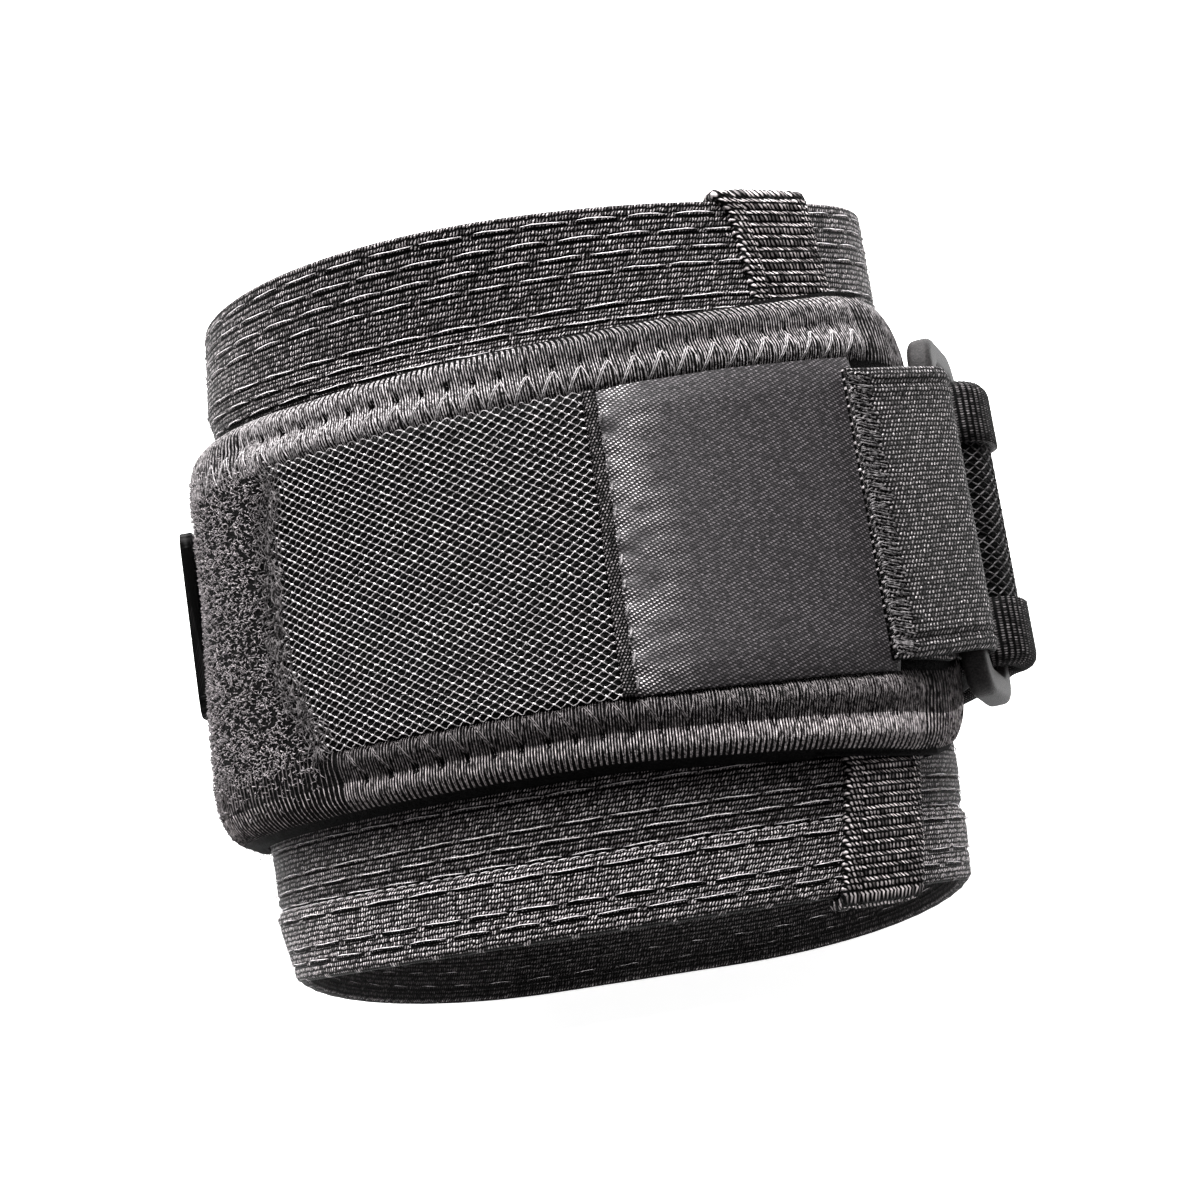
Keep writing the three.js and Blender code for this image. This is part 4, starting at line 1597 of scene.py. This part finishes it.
    def fringe(self) -> Piece:
        """Tufts that fan out over the mesh's left edge."""
        chance = np.random.default_rng(self.tuft_seed)
        share = shares(5)
        lines = []
        for middle in np.arange(*self.tuft_rows):
            angle = chance.uniform(-self.tuft_fan, self.tuft_fan, self.tuft)[:, None]
            reach = chance.uniform(*self.tuft_reach, self.tuft)[:, None]
            root = self.pile_left(np.array(middle)) + chance.normal(*self.tuft_root, self.tuft)[:, None]
            s = root - np.cos(angle) * reach * share
            y = middle + np.sin(angle) * reach * share + 0.3 * np.sin(4 * share + angle * 5)
            n = np.maximum(self.face(s, y), self.channel + 1.2) + 0.12 + 0.35 * np.sin(np.pi * share)
            lines.append(np.stack([s, y, n]))
        return lay_rows("pad_fringe", self.loop, lines, self.pile_half, sides=3)


@dataclass
class MeshPanel:
    """Open mesh over a dark backing, in the left of the pad's channel.

    Attributes:
        tuck: how far the panels go under the rolls.
        cell: length and height of a cell.
        wave: how far a yarn swings to each side.
        net_sink: how much lower the yarns lie under the pile.
        stray: how far they stray along, across and out.
        seeds: for the strays of the yarns and of the knots.
    """

    pad: Pad
    right: float = 3.2
    tuck: float = 0.5
    backing: float = 0.4
    flat_width: float = 38.9
    cell: Pair = (1.5, 0.535)
    wave: float = 0.2
    cell_points: int = 6
    net_lift: float = 0.75
    net_sink: float = 0.5
    stray: Triple = (0.03, 0.035, 0.04)
    yarn_half: Pair = (0.075, 0.09)
    knot_half: Pair = (0.12, 0.12)
    seeds: tuple[int, int] = (5, 7)

    def bounds(self, s: Array) -> tuple[Array, Array]:
        """Upper and lower edge of the panels, just under the rolls."""
        inset = self.pad.channel_inset - self.tuck
        return self.pad.from_edge(s, inset, 0), self.pad.from_edge(s, inset, 1)

    def seat(self, s: Array) -> Array:
        """Offset of the channel's floor."""
        return self.pad.channel * self.pad.plan.at(s, "fill") + CLEARANCE

    def build(self) -> None:
        """Builds the backing and the net."""
        left = self.pad.pile_end - 1
        along = np.linspace(left, self.right, 60)
        backing = lay_sheet(
            "mesh_backing", self.pad.loop, along, shares(40), shares(6), between(self.bounds),
            lambda s, y: self.seat(s) + self.backing, lambda s, y: self.seat(s),
        )
        dress(backing, MESH_BACK, Slot.MESH, "mesh_panel")
        net = dress(self.net(), MESH_YARN, Slot.MESH)
        # The knots' brighter colour is partly a painted highlight.
        knots = dress(self.knots(), MESH_KNOT_PAINTED_HIGHLIGHT, Slot.MESH)

    def net(self) -> Piece:
        """Yarns that run beside their neighbours in turn and leave six-sided cells, sunk under the pile."""
        long, _ = self.cell
        chance = np.random.default_rng(self.seeds[0])
        number = np.arange(self.count)[:, None]
        step = long / self.cell_points
        first, last = math.floor(self.pad.pile_end / step), math.ceil(self.right / step)
        s = np.arange(first, last) * step + 0 * number
        phase = s / long + 0.5 * (number % 2)
        swing = np.clip(1.2 * np.sin(2 * np.pi * phase), -1, 1)
        stray_s, stray_y, stray_n = self.stray
        y = self.line(s, number) + self.wave * swing + chance.normal(0, stray_y, s.shape)
        under = 1 - ease(s - self.pad.pile_left(y), 0.2, 1.2)
        lift = self.net_lift + 0.12 * np.sin(2 * np.pi * phase + 0.8) - self.net_sink * under
        n = self.seat(s) + lift + chance.normal(0, stray_n, s.shape)
        s = s + chance.normal(0, stray_s, s.shape)
        return lay_threads("mesh_net", self.pad.loop, s, y, n, self.yarn_half, sides=3)

    @property
    def count(self) -> int:
        """How many yarns the net has."""
        upper, lower = self.bounds(np.zeros(1))
        return int((upper[0] - lower[0]) / self.cell[1])

    def line(self, s: Array, number: Array) -> Array:
        """Middle line of a yarn."""
        upper, lower = self.bounds(s)
        return upper - (upper - lower) * (number / (self.count - 1))

    def knots(self) -> Piece:
        """Short slanting stitches where two yarns meet."""
        long, tall = self.cell
        share = np.linspace(-1, 1, 4)
        column, number = np.meshgrid(np.arange(-28, 3), np.arange(self.count - 1))
        middle = (column + 0.75 - 0.5 * (number % 2)) * long
        start = self.pad.pile_left(self.line(middle, number)) + 1.3
        inside = (middle > start) & (middle < self.right - 0.4)
        middle, number = middle[inside], number[inside]
        chance = np.random.default_rng(self.seeds[1])
        lean, reach = chance.normal(0.2, 0.06, (2, len(middle)))[:, :, None] - [[[0.06]], [[0.02]]]
        y = (self.line(middle, number) - 0.5 * tall)[:, None] - lean * share
        s = middle[:, None] + reach * share
        n = self.seat(s) + 0.9 - 0.12 * share**2
        return lay_threads("mesh_knots", self.pad.loop, s, y, n, self.knot_half, sides=3)


@dataclass
class Label:
    """Satin panel in the right of the channel, with a folded tape along its left edge.

    Attributes:
        fold: where the folded tape starts and ends.
        fold_lift: offsets of the tape's back and face over the channel's floor.
        fine: how far from the left the columns lie close.
        crown: how the satin rises from its upper and lower edge.
        rim: how deep it starts there.
        pucker: how deep the stitches pull its left edge.
        swell: the swell beside them.
    """

    pad: Pad
    panel: MeshPanel
    left: float = 4.3
    right: float = 36.6
    thick: float = 0.8
    flat_width: float = 42.3
    fold: Pair = (2.9, 4.5)
    fold_lift: Pair = (0.2, 1.25)
    tack: float = 3.1
    tack_half: Pair = (0.16, 0.16)
    fine: float = 6.0
    crown: Rise = Rise(0.45, 0.0, 4.0)
    rim: Rise = Rise(0.25, 0.0, 1.2)
    pucker: Rise = Rise(0.5, 0.0, 3.4)
    swell: Ridge = Ridge(0.25, 4.5, 3.0)

    def face(self, s: Array, y: Array) -> Array:
        """Offset of the satin: crowned between its edges and puckered by the stitches on its left."""
        upper, lower = self.panel.bounds(s)
        near = np.minimum(upper - y, y - lower)
        crown = self.crown.at(near) - self.rim.left(near)
        pucker = self.pucker.left(s - self.left) * (0.35 + 0.65 * pulse(y, self.tack, 1.5))
        swell = self.swell.at(s - self.left) * (0.6 + 0.4 * pulse(y, self.tack))
        return self.panel.seat(s) + self.thick + crown - pucker + swell

    def build(self) -> None:
        """Builds the satin, its folded tape and the stitches beside it."""
        close = np.linspace(self.left, self.left + self.fine, 26)
        along = np.concatenate([close, np.linspace(11, self.right, 44)])
        satin = lay_sheet(
            "label_satin", self.pad.loop, along, shares(110), shares(6), between(self.panel.bounds),
            self.face, lambda s, y: self.panel.seat(s),
        )
        dress(satin, LABEL_SATIN, Slot.LABEL, "label")
        tape = lay_sheet(
            "label_fold", self.pad.loop, np.linspace(*self.fold, 14), shares(80), shares(4),
            between(self.panel.bounds), self.fold_face, lambda s, y: self.panel.seat(s) + self.fold_lift[0],
        )
        dress(tape, FOLD_TAPE, Slot.LABEL)
        tacks = dress(self.tacks(), TAB_STITCH, Slot.LABEL)

    def fold_face(self, s: Array, y: Array) -> Array:
        """Offset of the folded tape's face, with round edges and a swell between the stitches."""
        first, last = self.fold
        edge = rounded_edge(np.minimum(s - first, last - s), 0.5)
        return self.panel.seat(s) + self.fold_lift[1] - edge + 0.12 * pulse(y, self.tack)

    def tacks(self) -> Piece:
        """Stitches along the tape's right edge."""
        upper, lower = self.panel.bounds(np.array([self.left]))
        starts = np.arange(lower[0] + 1.5, upper[0] - 2, self.tack)
        share = np.linspace(-1, 1, 7)
        y = starts[:, None] + 0.95 * share
        s = np.full_like(y, self.left + 0.45) + 0.15 * share
        n = self.face(s, y) + 0.12 - sunk_ends(share, 0.3, 5)
        return lay_threads("label_stitches", self.pad.loop, s, y, n, self.tack_half, sides=5)


# The ring, its tab and the strap


@dataclass
class Ring:
    """Flat plastic slot ring at the right flank."""

    loop: ArmLoop
    length: float = 49.0
    width: float = 16.0
    thick: float = 3.3
    bar: float = 3.6
    end_bar: float = 4.0
    corner: float = 4.5
    slot_corner: float = 1.6
    edge: float = 1.0
    turn: float = 17.0

    def __post_init__(self) -> None:
        """Finds the ring's middle and its two directions in the frame."""
        low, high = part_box("ring")
        turn = math.radians(self.turn)
        self.middle = np.array((low + high) / 2)
        self.out = np.array((math.cos(turn), 0, math.sin(turn)))
        self.ahead = np.array((math.sin(turn), 0, -math.cos(turn)))

    def bar_at(self, side: int) -> Array:
        """Middle of the front bar (-1) or of the back bar (1)."""
        return self.middle + side * self.ahead * (self.width - self.bar) / 2 * MM

    def half_turn(self, side: int, radius: float, start: int) -> Array:
        """Line round a bar on its slot side.

        Args:
            side: which bar.
            radius: radius of the turn.
            start: the face of the ring that it starts on, 1 outside or -1 inside.

        Returns:
            Points from over the bar's far edge, round it, to under the far edge, in metres.
        """
        bar, slot_side = self.bar_at(side), -side * self.ahead
        centre = bar + slot_side * ((self.bar - self.thick) / 2 + CLEARANCE) * MM
        turn = np.linspace(0, np.pi, 10)[:, None]
        over = self.out * start * radius
        round_it = centre + (over * np.cos(turn) + slot_side * radius * np.sin(turn)) * MM
        first = bar + (over - slot_side * self.bar / 2) * MM
        last = bar + (-over - slot_side * self.bar / 2) * MM
        return np.concatenate([first[None], round_it, last[None]])

    def build(self) -> None:
        """Builds the ring with soft edges."""
        bm = bmesh.new()
        sizes = (
            (self.width, self.length, self.corner),
            (self.width - 2 * self.bar, self.length - 2 * self.end_bar, self.slot_corner),
        )
        for width, length, corner in sizes:
            made = bmesh.ops.create_grid(bm, x_segments=1, y_segments=1, size=1.0)["verts"]
            span = max(vert.co.x for vert in made) * 2
            bmesh.ops.scale(bm, vec=(width / span, length / span, 1), verts=made)
            bmesh.ops.bevel(
                bm, geom=made, offset=corner, affect="VERTICES", segments=10, profile=0.5, material=-1,
            )
        bmesh.ops.delete(bm, geom=bm.faces[:], context="FACES_ONLY")
        bmesh.ops.bridge_loops(bm, edges=bm.edges[:])
        grown = bmesh.ops.extrude_face_region(bm, geom=bm.faces[:])["geom"]
        raised = [item for item in grown if isinstance(item, bmesh.types.BMVert)]
        bmesh.ops.translate(bm, vec=(0, 0, self.thick), verts=raised)
        bmesh.ops.translate(bm, vec=(0, 0, -self.thick / 2), verts=bm.verts)
        bmesh.ops.recalc_face_normals(bm, faces=bm.faces)
        sharp = [edge for edge in bm.edges if edge.calc_face_angle(0) > 1.0]
        bmesh.ops.bevel(
            bm, geom=sharp, offset=self.edge, affect="EDGES", segments=5, profile=0.5, material=-1,
        )
        tilt = Matrix.Rotation(math.radians(90 - self.turn), 4, "Y")
        stand = Matrix.Translation(Vector(self.middle)) @ tilt
        bmesh.ops.transform(bm, matrix=stand @ Matrix.Scale(MM, 4), verts=bm.verts)
        mesh = bpy.data.meshes.new("ring_moulding")
        bm.to_mesh(mesh)
        bm.free()
        dress(new_object("ring_moulding", mesh), RING_PLASTIC, Slot.RING, "ring")


@dataclass
class RingTab:
    """Woven webbing folded round the ring's front bar and sewn over the label's right edge.

    Attributes:
        cords: two cords beside each edge and the gap between them, by inset.
        sunk: how much lower the webbing lies than its cords.
        plain: how it rises again between the cords.
    """

    loop: ArmLoop
    ring: Ring
    width: float = 38.4
    thick: float = 1.3
    cords: tuple[Ridge, ...] = (Ridge(0.3, 1.3, 0.55), Ridge(0.3, 3.3, 0.5), Ridge(-0.15, 2.3, 0.4))
    sunk: float = 0.28
    plain: Rise = Rise(0.12, 3.6, 4.6)
    edge: float = 0.5
    step: float = 0.5
    fold_step: float = 2.4
    thread_half: Pair = (0.1, 0.12)
    thread_pitch: float = 0.42
    thread_stray: float = 0.16
    seed: int = 13
    upper_run: Plan = Plan(("s", "n"), ((34.8, 7.0), (36.6, 7.15), (38.6, 7.6)))
    lower_run: Plan = Plan(("s", "n"), ((46.0, 5.2), (42.0, 5.75), (37.4, 5.95)))

    def __post_init__(self) -> None:
        """Lays out the webbing's route."""
        level = self.ring.loop.ring_seat[1]
        radius = self.ring.thick / 2 + CLEARANCE + self.thick / 2
        self.route = Route(
            np.concatenate(
                [
                    self.loop.run(self.upper_run, self.fold_step, lambda s: level + 0 * s),
                    self.ring.half_turn(-1, radius, 1),
                    self.loop.run(self.lower_run, self.fold_step, lambda s: level + 0 * s),
                ]
            )
        )

    def face(self, along: Array, across: Array) -> Array:
        """Offset of the outer face: flat, with two cords beside each edge."""
        inset = self.width / 2 - np.abs(across) + 0 * along
        relief = self.plain.at(inset) + sum(cord.at(inset) for cord in self.cords)
        return self.thick / 2 - self.sunk + relief - rounded_edge(inset, self.edge)

    def build(self) -> None:
        """Builds the webbing and the overlock stitches along its sewn edge."""
        along = np.arange(0, self.route.length, self.step)
        half = self.width / 2
        webbing = lay_sheet(
            "tab_webbing", self.route, along, shares(120), shares(6),
            lambda a, share: half - share * self.width + 0 * a,
            self.face, lambda a, b: 0 * a - self.thick / 2,
        )
        dress(webbing, TAB_WEAVE, Slot.TAB, "ring_tab")
        overlock = dress(self.overlock(), TAB_STITCH, Slot.TAB)
        flat = (self.width * MM, self.route.length * MM)

    def overlock(self) -> Piece:
        """Slanting stitches over the sewn edge, in three crossing rows that stray a little."""
        chance = np.random.default_rng(self.seed)
        half = self.width / 2 - 0.6
        starts = np.arange(-half, half, self.thread_pitch)
        share = shares(6)
        lines = []
        for lean, first, reach in ((-0.9, -0.6, 3.6), (0.5, -0.7, 1.6), (-0.5, 1.2, 2.6)):
            stray = chance.normal(0, self.thread_stray, (3, len(starts), 1))
            along = first + stray[0] + (reach + 2 * stray[1]) * share
            across = starts[:, None] + stray[2] + lean * share
            out = self.face(along, across) + 0.12 - sunk_ends(2 * share - 1, 0.5, 6)
            lines.append(np.stack([along, across, out]))
        return lay_rows("tab_overlock", self.route, lines, self.thread_half)


@dataclass
class Strap:
    """Mesh strap with bound edges, from the ring round the back of the arm to the hook tab."""

    loop: ArmLoop
    ring: Ring
    width: float = 39.6
    core: float = 1.2
    tape: float = 1.0
    binding: float = 9.0
    end_rise: float = 3.4
    run_step: float = 4.0
    step: float = 1.2
    rib: float = 0.62
    rib_depth: float = 0.2
    raised: float = 0.6
    net_cell: Pair = (1.5, 0.66)
    stitch: float = 2.4
    thread_half: Pair = (0.14, 0.14)
    tail: Plan = Plan(("s", "n"), ((81, 2.5), (76, 3.5), (71, 4.6), (66, 4.1)))
    right_run: Plan = Plan(
        ("s", "n"),
        ((66, 9.7), (71, 8.9), (76, 7.8), (81, 6.7), (88, 4.9), (96, 3.2), (106, 2.2), (126, 2.2)),
    )
    left_run: Plan = Plan(
        ("s", "n"), ((-126, 2.2), (-103, 2.2), (-96, 3.1), (-90, 4.2), (-81, 4.8), (-78, 5.6))
    )

    def __post_init__(self) -> None:
        """Lays out the strap's route."""
        radius = self.ring.thick / 2 + CLEARANCE + self.thick / 2
        start = self.loop.run(self.tail, self.run_step, self.level)
        turn = self.ring.half_turn(1, radius, -1)
        self.route = Route(
            np.concatenate(
                [
                    start, turn,
                    self.loop.run(self.right_run, self.run_step, self.level),
                    self.loop.run(self.left_run, self.run_step, self.level),
                ]
            )
        )
        self.turn_at = float(np.linalg.norm(np.diff(start, axis=0), axis=1).sum() / MM)

    @property
    def thick(self) -> float:
        """Thickness over the bindings."""
        return self.core + 2 * (CLEARANCE + self.tape)

    def level(self, s: Array) -> Array:
        """Height of the strap's middle along the arm, which rises towards the hook tab."""
        first = self.right_run.ends()[0]
        last = self.loop.length + self.left_run.ends()[1]
        rise = ease(np.mod(s, self.loop.length), first, last)
        return self.loop.ring_seat[1] + self.raised * (1 - rise) + self.end_rise * rise

    def build(self) -> None:
        """Builds the core with its net, and the two bindings with their stitches."""
        along = np.arange(0, self.route.length, self.step)
        half = self.width / 2 - self.tape - CLEARANCE
        core = lay_sheet(
            "strap_core", self.route, along, shares(24), shares(24),
            lambda a, share: half - 2 * half * share + 0 * a,
            lambda a, b: 0 * a + self.core / 2, lambda a, b: 0 * a - self.core / 2,
        )
        dress(core, STRAP_BACK, Slot.STRAP, "strap")
        net = dress(self.net(), STRAP_YARN, Slot.STRAP)
        flat = (2 * half * MM, self.route.length * MM)
        for name, side in (("upper", 1), ("lower", -1)):
            tape = dress(self.bind(name, side), BINDING_RIB, Slot.BINDING, f"strap_binding_{name}")
            stitches = dress(self.stitches(name, side), SEW_THREAD, Slot.BINDING)
            flat = ((2 * self.binding + self.thick) * MM, self.route.length * MM)

    def net(self) -> Piece:
        """Diamond net on the strap's outer face, between the bindings."""
        long, tall = self.net_cell
        reach = self.width / 2 - self.binding + 0.6
        half = long / 2
        along = np.arange(self.turn_at, self.route.length - 0.5, half) // half * half + half / 2
        count = int(2 * reach / tall)
        number = np.arange(count)[:, None]
        phase = along[None, :] / long + 0.5 * (number % 2)
        across = reach - 2 * reach * number / (count - 1) + 0.48 * tall * np.sin(2 * np.pi * phase)
        out = self.core / 2 + 0.2 + 0.12 * np.cos(2 * np.pi * phase)
        along = along + 0 * across
        return lay_threads("strap_net", self.route, along, across, out, self.thread_half, sides=3)

    def bind(self, name: str, side: int) -> Piece:
        """Ribbed tape folded over one edge.

        Args:
            name: which edge.
            side: 1 for the upper edge, -1 for the lower.

        Returns:
            The tape.
        """
        edge, face = self.width / 2, self.thick / 2
        start, hollow = edge - self.binding, face - self.tape
        turn = np.linspace(-np.pi / 2, np.pi / 2, 8)
        flat = np.linspace(start, edge - face, 4)[:-1]
        wrap_b = np.concatenate([flat, edge - face + face * np.cos(turn), flat[::-1]])
        wrap_n = np.concatenate([0 * flat - face, face * np.sin(turn), 0 * flat + face])
        back_b = np.array([start, edge - self.tape, edge - self.tape, start, start])
        back_n = np.array([hollow, hollow, -hollow, -hollow, -face])
        ring_b, ring_n = np.concatenate([wrap_b, back_b]), np.concatenate([wrap_n, back_n])
        along = np.arange(0, self.route.length, self.rib / 4)
        relief = self.rib_depth * (1 - pulse(along, self.rib, 0.8))
        outside = np.arange(len(ring_b)) < len(wrap_b)
        inward = np.where(outside, 1, 0)[None, :] * relief[:, None]
        centre_b = np.minimum(ring_b, edge - face)
        away = np.stack([ring_b - centre_b, ring_n])
        away /= np.maximum(np.linalg.norm(away, axis=0), WELD)
        across = side * (ring_b - away[0] * inward)
        out = ring_n - away[1] * inward
        girth = np.concatenate([[0], np.cumsum(np.hypot(np.diff(ring_b), np.diff(ring_n)))])
        return lay_grid(f"binding_{name}", self.route, along, across, out, girth, Closing.TUBE)

    def stitches(self, name: str, side: int) -> Piece:
        """Row of stitches along the tape's inner edge, on the outer face."""
        starts = np.arange(self.turn_at + 2, self.route.length - 2, self.stitch)
        share = np.linspace(-1, 1, 6)
        along = starts[:, None] + 0.4 * self.stitch * share
        across = np.full_like(along, side * (self.width / 2 - self.binding + 0.9))
        out = self.thick / 2 - 0.15 - sunk_ends(share, 0.2, 5) + 0 * along
        return lay_threads(f"binding_{name}_stitches", self.route, along, across, out, self.thread_half)


@dataclass
class HookTab:
    """Hook tape under the strap's end, stuck on the pad's loop pile."""

    loop: ArmLoop
    strap: Strap
    width: float = 26.0
    thick: float = 1.5
    corner: float = 2.5
    edge: float = 0.4
    seam: Ridge = Ridge(0.12, 2.0, 0.3)
    step: float = 0.4
    run_step: float = 2.4
    run: Plan = Plan(
        ("s", "n"),
        ((-89, 1.1), (-80, 1.3), (-77, 2.4), (-74, 4.0), (-70.5, 5.5), (-65, 6.6), (-59, 7.1)),
    )

    def build(self) -> None:
        """Builds the tape with a round end and a stitched border."""
        level = self.loop.ring_seat[1] + self.strap.end_rise
        route = Route(self.loop.run(self.run, self.run_step, lambda s: level + 0 * s))
        half = self.width / 2

        def across(along: Array, share: Array) -> Array:
            """Place across, drawn in round the corners of the free end."""
            drawn = rounded_edge(route.length - along, self.corner)
            return (half - drawn) * (1 - 2 * share)

        def face(along: Array, place: Array) -> Array:
            """Offset of the face, with a round edge and a row of stitches beside it."""
            inset = half - np.abs(place)
            return self.thick / 2 - rounded_edge(inset, self.edge) - self.seam.at(inset)

        end = route.length - np.linspace(2.4, 0, 12)
        along = np.concatenate([np.arange(0, route.length - 2.6, self.step), end])
        tape = lay_sheet(
            "hook_tape", route, along, shares(66), shares(12), across, face,
            lambda a, b: 0 * a - self.thick / 2,
        )
        dress(tape, HOOK_WEAVE, Slot.HOOK, "hook_tab")
        route.length * MM


# The studio


@dataclass
class Studio:
    """Pale floor, soft lights and the camera above the front of the strap."""

    loop: ArmLoop
    distance: float = 437.0
    elevation: float = 76.09
    roll: float = 8.84
    lens: float = 98.0
    shift: Pair = (0.0089, 0.0045)
    sensor: float = 36.0
    clip: Pair = (0.01, 20.0)
    floor_half: float = 3.0
    floor_glow: float = 0.8
    room_glow: float = 0.06
    aim: Triple = (0.0, 0.0, 0.05)

    def build(self) -> None:
        """Sets up the floor, the lights and the camera."""
        self.floor()
        self.lights()
        self.camera()
        bpy.context.scene.view_settings.view_transform = "Standard"

    def floor(self) -> None:
        """Plain pale floor under the strap."""
        bm = bmesh.new()
        bmesh.ops.create_grid(bm, x_segments=4, y_segments=4, size=self.floor_half)
        mesh = bpy.data.meshes.new("floor")
        bm.to_mesh(mesh)
        bm.free()
        made = new_object("floor", mesh)
        paint = bpy.data.materials.new("pale floor")
        paint.use_nodes = True
        shader = paint.node_tree.nodes["Principled BSDF"]
        shader.inputs["Base Color"].default_value = (0.9, 0.9, 0.9, 1)
        shader.inputs["Roughness"].default_value = 0.9
        shader.inputs["Emission Color"].default_value = (1, 1, 1, 1)
        shader.inputs["Emission Strength"].default_value = self.floor_glow
        mesh.materials.append(paint)

    def lights(self) -> None:
        """Large soft light from behind the upper rim, a fill from the front and a pale room."""
        lamps = (
            ("key", (-0.1, 0.62, 0.45), 0.7, 37.0),
            ("top", (0.15, -0.05, 1.0), 0.6, 2.4),
            ("front", (-0.1, -0.65, 0.35), 0.5, 0.6),
        )
        for name, place, size, power in lamps:
            lamp = bpy.data.lights.new(name, "AREA")
            lamp.size, lamp.energy = size, power
            made = bpy.data.objects.new(name, lamp)
            made.location = place
            towards = Vector(self.aim) - Vector(place)
            made.rotation_euler = towards.to_track_quat("-Z", "Y").to_euler()
            bpy.context.scene.collection.objects.link(made)
        world = bpy.data.worlds.new("pale room")
        world.use_nodes = True
        sky = world.node_tree.nodes["Background"]
        sky.inputs["Color"].default_value = (1, 1, 1, 1)
        sky.inputs["Strength"].default_value = self.room_glow
        bpy.context.scene.world = world

    def camera(self) -> None:
        """Camera that looks down on the front, turned as the picture is."""
        made = bpy.data.objects.new("camera", bpy.data.cameras.new("camera"))
        made.data.lens = self.lens
        made.data.sensor_width = self.sensor
        made.data.shift_x, made.data.shift_y = self.shift
        made.data.clip_start, made.data.clip_end = self.clip
        tilt = math.radians(90 - self.elevation)
        away = Vector((0, -math.sin(tilt), math.cos(tilt))) * self.distance * MM
        target = Vector(self.loop.shift) + Vector((0, 0, self.loop.rest_height * MM))
        turn = Matrix.Rotation(tilt, 4, "X") @ Matrix.Rotation(-math.radians(self.roll), 4, "Z")
        made.matrix_world = Matrix.Translation(target + away) @ turn
        bpy.context.scene.collection.objects.link(made)
        bpy.context.scene.camera = made


def main() -> None:
    """Builds the pieces in the order in which the strap is sewn, and then the studio."""
    logging.basicConfig(level=logging.INFO, format="%(message)s")
    loop = ArmLoop()
    sleeve = Sleeve(loop)
    sleeve.build()
    SeamBinding(loop, sleeve).build()
    pad = Pad(loop)
    pad.build()
    panel = MeshPanel(pad)
    panel.build()
    Label(pad, panel).build()
    ring = Ring(loop)
    ring.build()
    RingTab(loop, ring).build()
    strap = Strap(loop, ring)
    strap.build()
    HookTab(loop, strap).build()
    Studio(loop).build()


if __name__ == "__main__":
    main()
